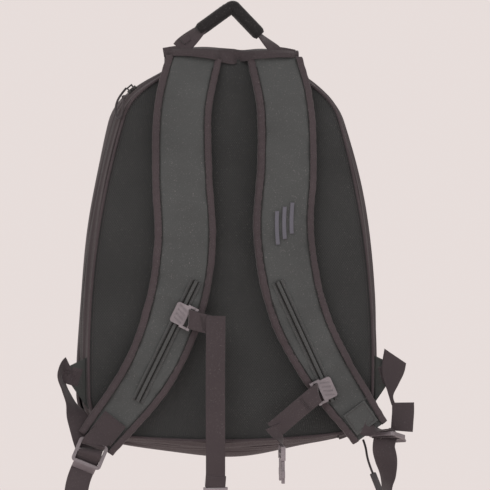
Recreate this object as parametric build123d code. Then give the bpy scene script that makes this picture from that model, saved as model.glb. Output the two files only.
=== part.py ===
"""Racket backpack, empty, hung by its carry handle.

Millimetres, +Z up. The origin is the inside of the handle's fold, where a hook or peg
carries the pack. The back panel and the shoulder straps face -Y, the front faces +Y.
Each function returns one named piece; the table at the end writes them all.
"""
import os
from dataclasses import dataclass, replace
from math import atan2, cos, hypot, pi, radians, sin, tan

from build123d import *

os.makedirs("parts", exist_ok=True)

# ---- fabric, webbing and clearances ----------------------------------------------------------
FABRIC = 1.5            # wall of the padded shell fabric
WEB = 1.6               # thickness of nylon webbing
WEB_WIDTH = 25.0        # strap adjuster webbing
CHEST_WEB_WIDTH = 20.0  # sternum strap webbing
RUN_GAP = 0.4           # running clearance between sliding pieces
JOINT_GAP = 0.6         # gap between the two halves of the open-out zip line

# ---- bag ---------------------------------------------------------------------------------------
PANEL_HALF_WIDTH = 158.0
PANEL_TOP = -47.5
PANEL_BOTTOM = -469.0
BELLY_HALF_WIDTH = 172.5
BELLY_TOP = -36.0
BELLY_BOTTOM = -495.0
FRONT_HALF_WIDTH = 150.0
FRONT_TOP = -62.0
FRONT_BOTTOM = -472.0
WIDEST_Z = -378.0
BAG_DEPTH = 150.0
BELLY_Y = 60.0
TAPE_REAR_Y = 19.0
ZIP_Y = 26.0
TAPE_FRONT_Y = 33.0
BASE_HALF_WIDTH = 118.0     # the base fabric runs between the ends of the zip
FOAM = 10.0
FRAME_SHEET = 1.4
LINING = 0.8
PIPING_RADIUS = 1.8
BAND_THICK = 1.2

# ---- front pocket ------------------------------------------------------------------------------
POCKET_HALF_WIDTH = 118.0
POCKET_TOP = -225.0
POCKET_BOTTOM = -448.0
POCKET_DEPTH = 30.0
POCKET_CORNER = 28.0
POCKET_ZIP_DROP = 20.0
POCKET_ZIP_HALF_LENGTH = 84.0
ZIP_SLOT = 6.0
ZIP_TAPE = 8.0

# ---- handle ------------------------------------------------------------------------------------
HANDLE_HINGE_Z = -37.0
HANDLE_FOOT_X = (-49.5, 43.0)
GRIP_RADIUS = 7.2
GRIP_END = ((-36.7, -18.0), (30.8, -22.0))
HANDLE_APEX = (0.25, 8.8)
ANCHOR_SPAN = (-40.5, -36.0)
ANCHOR_REACH = 26.0

# ---- shoulder straps ---------------------------------------------------------------------------
STRAP_THICK = 12.0
STRAP_STAND_OFF = 10.0      # open gap between the back panel and a strap
STRAP_TOP_WIDTH = 61.0
STRAP_MID_WIDTH = 68.0
STRAP_END_WIDTH = 47.0
BINDING_WIDTH = 7.5
BINDING_PROUD = 0.6
STRAP_LEFT_LINE = ((-42.4, -52.0), (-54.7, -105.0), (-55.5, -180.0), (-52.5, -250.0),
                   (-63.3, -320.0), (-92.8, -392.0), (-148.5, -466.0))
STRAP_RIGHT_LINE = ((47.2, -52.0), (57.0, -105.0), (58.5, -170.0), (55.0, -240.0),
                    (68.0, -316.0), (97.0, -380.0), (150.0, -458.0))

# ---- sternum strap -----------------------------------------------------------------------------
RAIL_RADIUS = 1.5
RAIL_RISE = 3.0             # rail axis above the strap face
RAIL_WEB = 0.8
RAIL_LEFT = ((-40.7, -291.5), (-104.5, -421.3))
RAIL_RIGHT = ((47.3, -292.6), (107.8, -423.5))
SLIDER_LEFT_AT = 39.7       # distance down the rail at rest
SLIDER_RIGHT_AT = 128.0
SLIDER_LENGTH = 23.0
SLIDER_WIDTH = 16.0
SLIDER_THICK = 6.5
SLIDER_BAR_REACH = 14.0
SLIDER_BAR_RADIUS = 1.5
SLIDER_BAR_RISE = 9.0
CHEST_LEFT_FOLD = (-21.0, -342.0)
CHEST_LEFT_END = -500.0
CHEST_RIGHT_FOLD = (44.0, -451.0)
CHEST_RIGHT_END = -468.0
BUCKLE_WIDTH = 26.0
BUCKLE_LENGTH = 42.0
BUCKLE_THICK = 9.0
BUCKLE_WALL = 1.8

# ---- strap adjusters ---------------------------------------------------------------------------
LOCK_WIDTH = 33.0
LOCK_LENGTH = 27.0
LOCK_THICK = 4.5
LOCK_BAR = 3.6
LOCK_LIP = 8.0
PATCH_GAP = 3.5
PATCH_LENGTH = 22.0
LOCK_LEFT_CENTRE = (-155.0, -27.5, -475.5)
LOCK_LEFT_BARS = (0.92, 0, -0.39)
LOCK_RIGHT_CENTRE = (170.0, -14.0, -463.0)
LOCK_RIGHT_BARS = (-0.72, 0.68, -0.12)
LOCK_RIGHT_FACE = (0.1, 0.28, 0.95)
TAIL_LEFT_X = -170.0
TAIL_LEFT_SPAN = (-556.0, -497.0)
TAIL_RIGHT_X = 165.0
TAIL_RIGHT_SPAN = (-560.0, -476.0)
ANCHOR_LEFT = ((-183.0, 2.0, -402.0), (-173.0, -6.0, -446.0))
ANCHOR_RIGHT = ((186.0, 2.0, -402.0), (188.0, 3.0, -448.0))
WING_TIP = (-178.0, 4.0, -402.0)
WING_HALF_HEIGHT = 25.0
WING_THICK = 2.6

# ---- zip pulls ---------------------------------------------------------------------------------
CORD = 2.5
SLIDER_BODY = (11.0, 7.0, 8.0)
PULL_LEFT_ROUTE = ((-115.5, 21.0, -80.0), (-122.0, 15.0, -88.0), (-127.0, 8.5, -99.0),
                   (-127.5, 2.0, -111.0), (-123.0, -4.0, -117.0), (-119.5, -7.0, -107.5),
                   (-118.5, -7.5, -95.0))
PULL_RIGHT_ROUTE = ((149.5, 20.0, -471.5), (151.5, 14.5, -479.0), (152.0, 11.0, -488.0),
                    (154.5, 9.0, -498.0), (158.0, 8.0, -507.0))
LEFT_SLIDER_ANGLE = 50.0    # round the shoulder arc, up from level
RIGHT_SLIDER_ANGLE = -50.0  # round the bottom corner arc
SLEEVE_WIDTH = 7.0
SLEEVE_LENGTH = 26.0
KNOT_RADIUS = 2.6


@dataclass
class Outline:
    """Bag outline in a plane of constant y: eight tangent arcs, the same left and right."""

    y: float
    half_width: float
    top: float
    bottom: float
    widest: float = WIDEST_Z
    side_radius: float = 940.0
    side_sweep: float = 16.3
    shoulder_radius: float = 60.0
    low_sweep: float = 2.4
    corner_radius: float = 48.0

    def centres(self):
        """Centres of the side, shoulder and corner arcs on the right, as (x, z)."""
        side = (self.half_width - self.side_radius, self.widest)
        up, low = radians(self.side_sweep), -radians(self.low_sweep)
        reach = self.side_radius - self.shoulder_radius
        shoulder = (side[0] + reach * cos(up), side[1] + reach * sin(up))
        reach = self.side_radius - self.corner_radius
        corner = (side[0] + reach * cos(low), side[1] + reach * sin(low))
        return side, shoulder, corner

    def inset(self, wall):
        """The same outline moved inwards by a wall thickness."""
        return replace(
            self, half_width=self.half_width - wall, top=self.top - wall, bottom=self.bottom + wall,
            side_radius=self.side_radius - wall, shoulder_radius=self.shoulder_radius - wall,
            corner_radius=self.corner_radius - wall)

    def at(self, y):
        """The same outline in another plane."""
        return replace(self, y=y)

    def wire(self):
        """Closed wire, from the top arc clockwise."""
        side, shoulder, corner = self.centres()
        rise = abs(shoulder[1] - self.top)
        top_radius = (shoulder[0] ** 2 + rise ** 2 - self.shoulder_radius ** 2) / (
            2 * (rise - self.shoulder_radius))
        drop = abs(corner[1] - self.bottom)
        bottom_radius = (corner[0] ** 2 + drop ** 2 - self.corner_radius ** 2) / (
            2 * (drop - self.corner_radius))
        top_angle = atan2(shoulder[1] - (self.top - top_radius), shoulder[0])
        bottom_angle = atan2(corner[1] - (self.bottom + bottom_radius), corner[0])
        up, low = radians(self.side_sweep), -radians(self.low_sweep)

        def on(centre, radius, angle):
            return (centre[0] + radius * cos(angle), centre[1] + radius * sin(angle))

        right = [
            on(shoulder, self.shoulder_radius, top_angle),
            on(shoulder, self.shoulder_radius, (top_angle + up) / 2),
            on(side, self.side_radius, up),
            on(side, self.side_radius, (up + low) / 2),
            on(side, self.side_radius, low),
            on(corner, self.corner_radius, (low + bottom_angle) / 2),
            on(corner, self.corner_radius, bottom_angle),
        ]
        points = right + [(0, self.bottom)] + [(-x, z) for x, z in reversed(right)] + [(0, self.top)]
        points = [(x, self.y, z) for x, z in points]
        arcs = [ThreePointArc(points[i], points[i + 1], points[(i + 2) % 16]) for i in range(0, 16, 2)]
        return Wire([arc.edge() for arc in arcs])


def between(low, high, y):
    """Outline at a plane between two others."""
    share = (y - low.y) / (high.y - low.y)
    values = {name: getattr(low, name) + share * (getattr(high, name) - getattr(low, name))
              for name in low.__dataclass_fields__}
    return Outline(**values)


REAR = Outline(0.0, PANEL_HALF_WIDTH, PANEL_TOP, PANEL_BOTTOM)
BELLY = Outline(BELLY_Y, BELLY_HALF_WIDTH, BELLY_TOP, BELLY_BOTTOM, shoulder_radius=66.0,
                corner_radius=66.0)
FRONT = Outline(BAG_DEPTH, FRONT_HALF_WIDTH, FRONT_TOP, FRONT_BOTTOM, shoulder_radius=62.0,
                corner_radius=56.0)
TAPE_REAR = between(REAR, BELLY, TAPE_REAR_Y)
ZIP = between(REAR, BELLY, ZIP_Y)
ZIP_REAR = ZIP.at(ZIP_Y - JOINT_GAP / 2)
ZIP_FRONT = ZIP.at(ZIP_Y + JOINT_GAP / 2)
TAPE_FRONT = between(REAR, BELLY, TAPE_FRONT_Y)
FULL = replace(BELLY, y=BELLY_Y + 40.0, half_width=BELLY_HALF_WIDTH - 5.0, top=BELLY_TOP - 6.0,
               bottom=BELLY_BOTTOM + 4.0)


def lofted(*outlines):
    """Solid between outlines, with straight sides from each to the next."""
    return Solid.make_loft([outline.wire() for outline in outlines], ruled=True)


def ring(*outlines, wall=FABRIC):
    """Open-ended shell whose outside passes through the outlines."""
    inner = [outline.inset(wall) for outline in outlines]
    return lofted(*outlines) - lofted(*inner)


def slab(x, y, z):
    """Box between pairs of low and high values."""
    size = (x[1] - x[0], y[1] - y[0], z[1] - z[0])
    middle = ((x[0] + x[1]) / 2, (y[0] + y[1]) / 2, (z[0] + z[1]) / 2)
    return Pos(*middle) * Box(*size)


BASE_ZONE = slab((-BASE_HALF_WIDTH, BASE_HALF_WIDTH), (-50, 250), (-700, -300))


def joined(*solids):
    """One shape from touching solids."""
    shape = solids[0]
    for solid in solids[1:]:
        shape = shape + solid
    return shape


# ---- rear of the bag ---------------------------------------------------------------------------
def back_cover():
    """Spacer mesh over the back panel."""
    return lofted(REAR, REAR.at(FABRIC))


def back_foam():
    """Foam board that pads the back panel."""
    foam = REAR.inset(2 * FABRIC)
    return lofted(foam.at(FABRIC), foam.at(FABRIC + FOAM))


def frame_sheet():
    """Stiff plastic sheet behind the foam."""
    sheet = REAR.inset(4 * FABRIC)
    start = FABRIC + FOAM
    return lofted(sheet.at(start), sheet.at(start + FRAME_SHEET))


def back_lining():
    """Lining that closes the back panel from inside."""
    lining = REAR.inset(2 * FABRIC)
    start = FABRIC + FOAM + FRAME_SHEET
    return lofted(lining.at(start), lining.at(start + LINING))


def back_piping():
    """Piping sewn round the edge of the back panel, in front of the gusset seam."""
    edge = ring(REAR.at(-2 * PIPING_RADIUS), REAR, wall=2 * PIPING_RADIUS)
    return edge - slab((-80, 80), (-20, 20), (-60, 0))


def rear_ring():
    """Rear gusset from the back cover to the zip tape, all the way round."""
    return ring(between(REAR, BELLY, FABRIC), TAPE_REAR)


def rear_gusset():
    return rear_ring() - BASE_ZONE


def rear_base():
    return rear_ring() & BASE_ZONE


def rear_zip_tape():
    """Zip tape half that stays with the back of the pack."""
    return ring(TAPE_REAR, ZIP_REAR) - BASE_ZONE


def rear_base_hem():
    """Base fabric between the ends of the zip."""
    return ring(TAPE_REAR, ZIP_REAR) & BASE_ZONE


def inner_sleeve():
    """Flat inside pocket: a front wall, two sides and a bottom."""
    start = FABRIC + FOAM + FRAME_SHEET + LINING
    deep = start + 10.0
    wide, low, high = 118.0, -430.0, -190.0
    outside = slab((-wide, wide), (start, deep), (low, high))
    inside = slab((-wide + FABRIC, wide - FABRIC), (start - 1, deep - FABRIC), (low + FABRIC, high + 1))
    return outside - inside


def top_band():
    """Webbing band that covers the seam where handle and straps are sewn in."""
    edge = between(REAR, BELLY, FABRIC), TAPE_REAR
    band = lofted(*(outline.inset(-BAND_THICK) for outline in edge)) - lofted(*edge)
    zone = slab((-76.0, 76.0), (-5, TAPE_REAR_Y - 1), (-60, 0))
    return band & zone


# ---- front of the bag --------------------------------------------------------------------------
def front_zip_tape():
    return ring(ZIP_FRONT, TAPE_FRONT) - BASE_ZONE


def front_base_hem():
    return ring(ZIP_FRONT, TAPE_FRONT) & BASE_ZONE


def front_shell():
    return ring(TAPE_FRONT, BELLY, FULL, FRONT)


def front_gusset():
    return front_shell() - BASE_ZONE


def front_base():
    return front_shell() & BASE_ZONE


def front_panel():
    """Main front face of the bag."""
    return lofted(FRONT, FRONT.at(BAG_DEPTH + FABRIC))


def racket_divider():
    """Padded divider that splits the compartment; it hangs in the front section."""
    sheet = between(BELLY, FULL, BELLY_Y + 6.0).inset(FABRIC + 0.5)
    board = lofted(sheet.at(BELLY_Y + 2.0), sheet.at(BELLY_Y + 6.0))
    return board & slab((-300, 300), (0, 200), (-520, -150))


def pocket_outline(grow=0.0):
    """Rounded rectangle of the front pocket in the XZ plane."""
    height = POCKET_TOP - POCKET_BOTTOM
    middle = (POCKET_TOP + POCKET_BOTTOM) / 2
    plane = Plane(origin=(0, BAG_DEPTH + FABRIC, middle), x_dir=(1, 0, 0), z_dir=(0, 1, 0))
    return plane * RectangleRounded(2 * (POCKET_HALF_WIDTH + grow), height + 2 * grow, POCKET_CORNER + grow)


def pocket_cut(start, end, grow=0.0):
    """The pocket's rounded block between two depths from the front panel."""
    block = extrude(pocket_outline(grow), end - start, dir=(0, 1, 0))
    return Pos(0, start, 0) * block


def pocket_zip_z():
    return POCKET_TOP - POCKET_ZIP_DROP


def pocket_slot():
    return slab((-POCKET_ZIP_HALF_LENGTH, POCKET_ZIP_HALF_LENGTH), (BAG_DEPTH, 300),
                (pocket_zip_z() - ZIP_SLOT / 2, pocket_zip_z() + ZIP_SLOT / 2))


def pocket_gusset():
    """Side wall of the front pocket."""
    return pocket_cut(0, POCKET_DEPTH - FABRIC) - pocket_cut(-1, POCKET_DEPTH, -FABRIC)


def pocket_face():
    """Front wall of the pocket with the slot for its zip."""
    return pocket_cut(POCKET_DEPTH - FABRIC, POCKET_DEPTH) - pocket_slot()


def pocket_zip_tape():
    """Two tapes beside the slot, on the outside of the pocket face."""
    outer = ZIP_SLOT / 2 + ZIP_TAPE
    face = BAG_DEPTH + FABRIC + POCKET_DEPTH
    reach = POCKET_ZIP_HALF_LENGTH + 5
    tape = slab((-reach, reach), (face, face + 0.7), (pocket_zip_z() - outer, pocket_zip_z() + outer))
    return tape - pocket_slot()


def pocket_slider_centre():
    face = BAG_DEPTH + FABRIC + POCKET_DEPTH + 0.7
    return (POCKET_ZIP_HALF_LENGTH - 12.0, face + RUN_GAP + SLIDER_BODY[2] / 2, pocket_zip_z())


def zip_body(plane):
    """Zip slider: a block with a bridge on top, waisted at its middle."""
    length, width, height = SLIDER_BODY
    body = Box(length, width, height * 0.55)
    side_cut = Pos(0, width / 2 + 1.2, 0) * Cylinder(2.2, height)
    waist = side_cut + mirror(side_cut, about=Plane.XZ)
    bridge = Pos(0, 0, height * 0.275) * (
        Box(length * 0.7, 2.4, height * 0.45, align=(Align.CENTER, Align.CENTER, Align.MIN))
        - Box(length * 0.4, 3, height * 0.25, align=(Align.CENTER, Align.CENTER, Align.MIN)))
    return plane * (body - waist + bridge)


def pocket_slider():
    plane = Plane(origin=pocket_slider_centre(), x_dir=(1, 0, 0), z_dir=(0, 1, 0))
    return zip_body(plane)


def pocket_pull():
    """Flat tab that hangs from the pocket slider."""
    x, y, z = pocket_slider_centre()
    top = y + SLIDER_BODY[2] / 2 + RUN_GAP
    return slab((x - 3.5, x + 3.5), (top, top + 2.2), (z - 30, z - 2))


# ---- handle ------------------------------------------------------------------------------------
def handle_leg_points(side):
    """Foot, grip end and apex of one leg of the handle."""
    foot = (HANDLE_FOOT_X[side], HANDLE_HINGE_Z + 4.0)
    return foot, GRIP_END[side], HANDLE_APEX


def rod(start, end, radius):
    """Cylinder between two points (x, z) in the plane y = 0."""
    length = hypot(end[0] - start[0], end[1] - start[1])
    plane = Plane(origin=(start[0], 0, start[1]), z_dir=(end[0] - start[0], 0, end[1] - start[1]))
    return plane * Cylinder(radius, length, align=(Align.CENTER, Align.CENTER, Align.MIN))


def handle_grip():
    """Padded grip folded to an inverted V over the hook."""
    left, right = (rod(GRIP_END[side], HANDLE_APEX, GRIP_RADIUS) for side in (0, 1))
    grip = left + right + Pos(HANDLE_APEX[0], 0, HANDLE_APEX[1]) * Sphere(GRIP_RADIUS)
    return grip - handle_core(0.05)


def handle_core(grow=0.0):
    """Webbing that runs through the grip from foot to foot."""
    width = WEB_WIDTH / 2 - 6.0 + grow
    core = None
    for side in (0, 1):
        foot, end, apex = handle_leg_points(side)
        for start, stop in ((foot, end), (end, apex)):
            length = hypot(stop[0] - start[0], stop[1] - start[1])
            plane = Plane(origin=(start[0], 0, start[1]), x_dir=(0, 1, 0),
                          z_dir=(stop[0] - start[0], 0, stop[1] - start[1]))
            leg = plane * Box(2 * width, 2 * (WEB + grow), length + 1.0,
                              align=(Align.CENTER, Align.CENTER, Align.MIN))
            core = leg if core is None else core + leg
    return core


def handle_webbing():
    return handle_core()


def handle_anchors():
    """Webbing feet sewn flat on the top band beside the handle."""
    feet = []
    for x, way in ((HANDLE_FOOT_X[0], -1), (HANDLE_FOOT_X[1], 1)):
        near, far = sorted((x + way * 2.0, x + way * ANCHOR_REACH))
        feet.append(slab((near, far), (-1.0 - WEB, -1.0), ANCHOR_SPAN))
    return Compound(children=feet)


# ---- shoulder straps ---------------------------------------------------------------------------
def strap_width(share):
    """Width along the strap: it widens to the middle and narrows to the lower end."""
    if share < 0.5:
        return STRAP_TOP_WIDTH + (STRAP_MID_WIDTH - STRAP_TOP_WIDTH) * sin(radians(180 * share))
    fall = 1 - cos(radians(180 * (share - 0.5)))
    return STRAP_MID_WIDTH - (STRAP_MID_WIDTH - STRAP_END_WIDTH) * fall


def strap_edges(line, inset_low, inset_high):
    """Face in the plane y = 0 between two edges offset from the strap's centre line."""
    centre = Spline(*[(x, 0, z) for x, z in line])
    stations = [i / 8 for i in range(9)]
    low, high = [], []
    for share in stations:
        point, along = centre @ share, centre % share
        across = Vector(-along.Z, 0, along.X)
        half = strap_width(share) / 2
        low.append(point - across * (half - inset_low))
        high.append(point + across * (half - inset_high))
    first, second = Spline(*low), Spline(*high)
    ends = Line(low[0], high[0]), Line(low[-1], high[-1])
    return Face(Wire([first.edge(), ends[1].edge(), second.edge(), ends[0].edge()]))


def strap_profile(grow=0.0):
    """Side view of a strap: thin at the top seam, then standing off the back panel."""
    back, front = -STRAP_STAND_OFF + grow, -STRAP_STAND_OFF - STRAP_THICK - grow
    seam, bend, end = -40.0, -92.0, -560.0
    inner = Bezier((0, -2.8 + grow, seam), (0, -3.0 + grow, -62.0), (0, back, -70.0), (0, back, bend))
    outer = Bezier((0, front, bend), (0, front, -66.0), (0, -12.0 - grow, -54.0), (0, -9.0 - grow, seam))
    sides = [
        Line((0, back, bend), (0, back, end)),
        Line((0, back, end), (0, front, end)),
        Line((0, front, end), (0, front, bend)),
        Line((0, -9.0 - grow, seam), (0, -2.8 + grow, seam)),
    ]
    face = Face(Wire([inner.edge()] + [s.edge() for s in sides[:3]] + [outer.edge(), sides[3].edge()]))
    return extrude(face, 250, dir=(1, 0, 0), both=True)


def strap_prism(face):
    return Pos(0, 60, 0) * extrude(face, 160, dir=(0, -1, 0))


def strap_pad(line):
    """Foam core of a shoulder strap inside its edge binding."""
    return strap_prism(strap_edges(line, BINDING_WIDTH, BINDING_WIDTH)) & strap_profile()


def strap_binding(line):
    """Folded tape round the two long edges of a strap."""
    width_cut = strap_prism(strap_edges(line, BINDING_WIDTH, BINDING_WIDTH))
    whole = strap_prism(strap_edges(line, 0, 0))
    return (whole - width_cut) & strap_profile(BINDING_PROUD)


STRAP_FACE_Y = -STRAP_STAND_OFF - STRAP_THICK


def rail_plane(rail, along):
    """Plane on the strap face at a distance down the rail: x along it, z out of the strap."""
    (x0, z0), (x1, z1) = rail
    length = hypot(x1 - x0, z1 - z0)
    run = ((x1 - x0) / length, (z1 - z0) / length)
    origin = (x0 + run[0] * along, STRAP_FACE_Y, z0 + run[1] * along)
    return Plane(origin=origin, x_dir=(run[0], 0, run[1]), z_dir=(0, -1, 0))


def rail_length(rail):
    (x0, z0), (x1, z1) = rail
    return hypot(x1 - x0, z1 - z0)


def sternum_rail(rail):
    """Cord rail on a thin flange, sewn down the middle of a strap."""
    length = rail_length(rail)
    bead = Pos(length / 2, 0, RAIL_RISE) * Rot(0, 90, 0) * Cylinder(RAIL_RADIUS, length)
    flange = Pos(length / 2, 0, RAIL_RISE / 2) * Box(length, RAIL_WEB, RAIL_RISE)
    return rail_plane(rail, 0) * (bead + flange)


def sternum_slider(rail, along, inner):
    """Plastic clip that runs on the rail, with a bar for the sternum webbing."""
    base = RUN_GAP + 0.4
    block = Pos(0, 0, base) * Box(SLIDER_LENGTH, SLIDER_WIDTH, SLIDER_THICK,
                                  align=(Align.CENTER, Align.CENTER, Align.MIN))
    block = fillet(block.edges().filter_by(Axis.Z), 3.0)
    bore = Pos(0, 0, RAIL_RISE) * Rot(0, 90, 0) * Cylinder(RAIL_RADIUS + RUN_GAP, 2 * SLIDER_LENGTH)
    slot = Pos(0, 0, RAIL_RISE / 2) * Box(2 * SLIDER_LENGTH, RAIL_WEB + 2 * RUN_GAP, RAIL_RISE)
    clip = block - bore - slot
    for row in (-7.2, -2.4, 2.4, 7.2):
        groove = Pos(row, 0, base + SLIDER_THICK) * Rot(0, 0, 70) * Box(10.0, 1.7, 1.6)
        clip = clip - groove
    reach = inner * SLIDER_BAR_REACH
    bar = Pos(0, reach, SLIDER_BAR_RISE) * Rot(0, 90, 0) * Cylinder(SLIDER_BAR_RADIUS, SLIDER_LENGTH + 3)
    top = base + SLIDER_THICK
    for end in (-1, 1):
        x = end * (SLIDER_LENGTH / 2 + 0.2)
        arm = slab((x - 1.3, x + 1.3), sorted((inner * (SLIDER_WIDTH / 2 - 4), reach)), (top - 3.0, top))
        post = Pos(x, reach, 0) * slab((-1.3, 1.3), (-1.6, 1.6), (top - 3.0, SLIDER_BAR_RISE + 1.6))
        clip = clip + arm + post
    return rail_plane(rail, along) * (clip + bar)


def chest_loop(rail, along, inner):
    """Webbing turned round the slider's bar with room to swing."""
    plane = rail_plane(rail, along)
    centre = Pos(0, inner * SLIDER_BAR_REACH, SLIDER_BAR_RISE) * Rot(0, 90, 0)
    bore = SLIDER_BAR_RADIUS + 0.35
    loop = Cylinder(bore + WEB, CHEST_WEB_WIDTH) - Cylinder(bore, CHEST_WEB_WIDTH + 2)
    return plane * (centre * loop)


def chest_bar_point(rail, along, inner):
    """Centre of a slider's bar in the pack's frame."""
    return rail_plane(rail, along).from_local_coords(Vector(0, inner * SLIDER_BAR_REACH, SLIDER_BAR_RISE))


def flat_strip(start, end, width, y, thick=WEB):
    """Strip of webbing in a plane of constant y, from one (x, z) to another."""
    length = hypot(end[0] - start[0], end[1] - start[1])
    middle = ((start[0] + end[0]) / 2, y, (start[1] + end[1]) / 2)
    plane = Plane(origin=middle, x_dir=(end[0] - start[0], 0, end[1] - start[1]), z_dir=(0, -1, 0))
    return plane * Box(length, width, thick)


def chest_strap(rail, along, inner, fold, end_z, edge_on):
    """Sternum webbing: round the bar, across to its fold, then hanging down."""
    bar = chest_bar_point(rail, along, inner)
    across = Vector(fold[0] - bar.X, 0, fold[1] - bar.Z).normalized()
    start = (bar.X + across.X * 3.0, bar.Z + across.Z * 3.0)
    top_y = bar.Y - SLIDER_BAR_RADIUS - 0.35 - WEB / 2
    upper = flat_strip(start, fold, CHEST_WEB_WIDTH, top_y)
    half = CHEST_WEB_WIDTH / 2
    if edge_on:
        x = fold[0] + 6.0
        hang = slab((x - WEB / 2, x + WEB / 2), (top_y - CHEST_WEB_WIDTH + 4, top_y + 2),
                    (end_z, fold[1] + 4))
        gusset = slab((fold[0] - 4, x + WEB / 2), (top_y - WEB / 2, top_y + WEB / 2),
                      (fold[1] - 6, fold[1] + 4))
        return chest_loop(rail, along, inner) + upper + hang + gusset
    y = top_y - WEB
    hang = slab((fold[0] - half, fold[0] + half), (y - WEB / 2, y + WEB / 2), (end_z, fold[1] + 6))
    return chest_loop(rail, along, inner) + upper + hang


def chest_top_y(rail, along, inner):
    return chest_bar_point(rail, along, inner).Y - SLIDER_BAR_RADIUS - 0.35 - WEB / 2


def female_buckle():
    """Socket half of the sternum buckle at the end of the left webbing, open at its foot."""
    y = chest_top_y(RAIL_LEFT, SLIDER_LEFT_AT, 1) - WEB
    x, top = CHEST_LEFT_FOLD[0], CHEST_LEFT_END - 13.0
    bottom = top - BUCKLE_LENGTH
    half, thick = BUCKLE_WIDTH / 2, BUCKLE_THICK / 2
    shell = slab((x - half, x + half), (y - thick, y + thick), (bottom, top - 10.0))
    shell = fillet(shell.edges().filter_by(Axis.Z), 3.0)
    mouth = slab((x - half + 2.5, x + half - 2.5), (y - thick + BUCKLE_WALL, y + thick - BUCKLE_WALL),
                 (bottom - 1, top - 13.0))
    windows = [slab(sorted((x + s * (half - 3.0), x + s * (half + 2.0))), (y - 1.9, y + 1.9),
                    (bottom + 9.0, bottom + 22.0)) for s in (-1, 1)]
    bar_frame = slab((x - half, x + half), (y - 2.2, y + 2.2), (top - 10.0, top))
    web_slot = slab((x - half + 2.6, x + half - 2.6), (y - 5, y + 5), (top - 7.5, top - 3.0))
    return joined(shell, bar_frame) - mouth - windows[0] - windows[1] - web_slot


def chest_keeper():
    """Folded and stitched end of the left webbing above its buckle."""
    y = chest_top_y(RAIL_LEFT, SLIDER_LEFT_AT, 1) - WEB
    x, half = CHEST_LEFT_FOLD[0], CHEST_WEB_WIDTH / 2 + 0.5
    return slab((x - half, x + half), (y - 2.4, y + 2.4), (CHEST_LEFT_END - 13.0, CHEST_LEFT_END))


def male_centre():
    """Middle of the male buckle's webbing bar."""
    y = chest_top_y(RAIL_RIGHT, SLIDER_RIGHT_AT, -1) - CHEST_WEB_WIDTH / 2 + 3.0
    return CHEST_RIGHT_FOLD[0] + 6.0, y, CHEST_RIGHT_END


ARM_WIDTH = 3.0
ARM_LENGTH = 24.0


def male_buckle():
    """Plug half of the sternum buckle: webbing frame and centre tongue, seen edge-on."""
    x, y, top = male_centre()
    half = BUCKLE_WIDTH / 2
    frame = slab((x - 2.4, x + 2.4), (y - half, y + half), (top - 15.0, top))
    slot = slab((x - 4, x + 4), (y - half + 2.8, y + half - 2.8), (top - 7.0, top - 3.0))
    second = slab((x - 4, x + 4), (y - half + 2.8, y + half - 2.8), (top - 12.5, top - 10.0))
    tongue = slab((x - 1.8, x + 1.8), (y - 2.5, y + 2.5), (top - 15.0 - ARM_LENGTH + 4.0, top - 15.0))
    return joined(frame, tongue) - slot - second


def male_arm(side):
    """Springy side arm of the plug, with its catch."""
    x, y, top = male_centre()
    outer = y + side * (BUCKLE_WIDTH / 2 - 1.0)
    near, far = sorted((outer, outer - side * ARM_WIDTH))
    start = top - 15.0 - RUN_GAP
    arm = slab((x - 1.8, x + 1.8), (near, far), (start - ARM_LENGTH, start))
    catch_low, catch_high = sorted((outer, outer + side * 2.2))
    catch = slab((x - 1.8, x + 1.8), (catch_low, catch_high),
                 (start - ARM_LENGTH + 6.0, start - ARM_LENGTH + 14.0))
    return arm + catch


# ---- strap adjusters ---------------------------------------------------------------------------
LOCK_LEFT_PLANE = Plane(origin=LOCK_LEFT_CENTRE, x_dir=LOCK_LEFT_BARS, z_dir=(0, -1, 0))
LOCK_RIGHT_PLANE = Plane(origin=LOCK_RIGHT_CENTRE, x_dir=LOCK_RIGHT_BARS, z_dir=LOCK_RIGHT_FACE)


def ladder_lock(plane):
    """Adjuster frame with two slots, a ridged middle bar and a thumb lip."""
    body = Box(LOCK_WIDTH, LOCK_LENGTH, LOCK_THICK)
    body = fillet(body.edges().filter_by(Axis.Z), 4.0)
    slot_width = LOCK_WIDTH - 2 * LOCK_BAR
    slot_length = (LOCK_LENGTH - 3 * LOCK_BAR) / 2
    offset = (LOCK_BAR + slot_length) / 2
    for way in (-1, 1):
        body = body - Pos(0, way * offset, 0) * Box(slot_width, slot_length, 2 * LOCK_THICK)
    lip = Pos(0, -LOCK_LENGTH / 2, LOCK_THICK / 2) * Rot(35, 0, 0) * Box(
        LOCK_WIDTH - 8, LOCK_LIP, 2.4, align=(Align.CENTER, Align.MAX, Align.MAX))
    return plane * (body + lip)


def lock_patch(line, plane):
    """Doubled webbing from the strap's end that turns round the lock's top bar."""
    along = (Vector(line[-1][0], 0, line[-1][1]) - Vector(line[-2][0], 0, line[-2][1])).normalized()
    stop = plane.from_local_coords(Vector(0, LOCK_LENGTH / 2 + PATCH_GAP, 0))
    start = stop - along * PATCH_LENGTH
    start = Vector(start.X, STRAP_FACE_Y - BINDING_PROUD - WEB, start.Z)
    reach = stop - start
    across = reach.cross(Vector(0, 1, 0)).normalized()
    out = across.cross(reach).normalized()
    strip = Plane(origin=start + reach * 0.5, x_dir=reach, z_dir=out)
    return strip * Box(reach.length, WEB_WIDTH, 2 * WEB) - strap_profile(BINDING_PROUD)


def adjuster_tail(x, y, span):
    """Loose end of adjuster webbing below the lock."""
    half = WEB_WIDTH / 2
    return slab((x - half, x + half), (y - WEB / 2, y + WEB / 2), span)


def tail_left():
    return adjuster_tail(TAIL_LEFT_X, LOCK_LEFT_CENTRE[1] - LOCK_THICK, TAIL_LEFT_SPAN)


def tail_right():
    return adjuster_tail(TAIL_RIGHT_X, LOCK_RIGHT_CENTRE[1], TAIL_RIGHT_SPAN)


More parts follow.
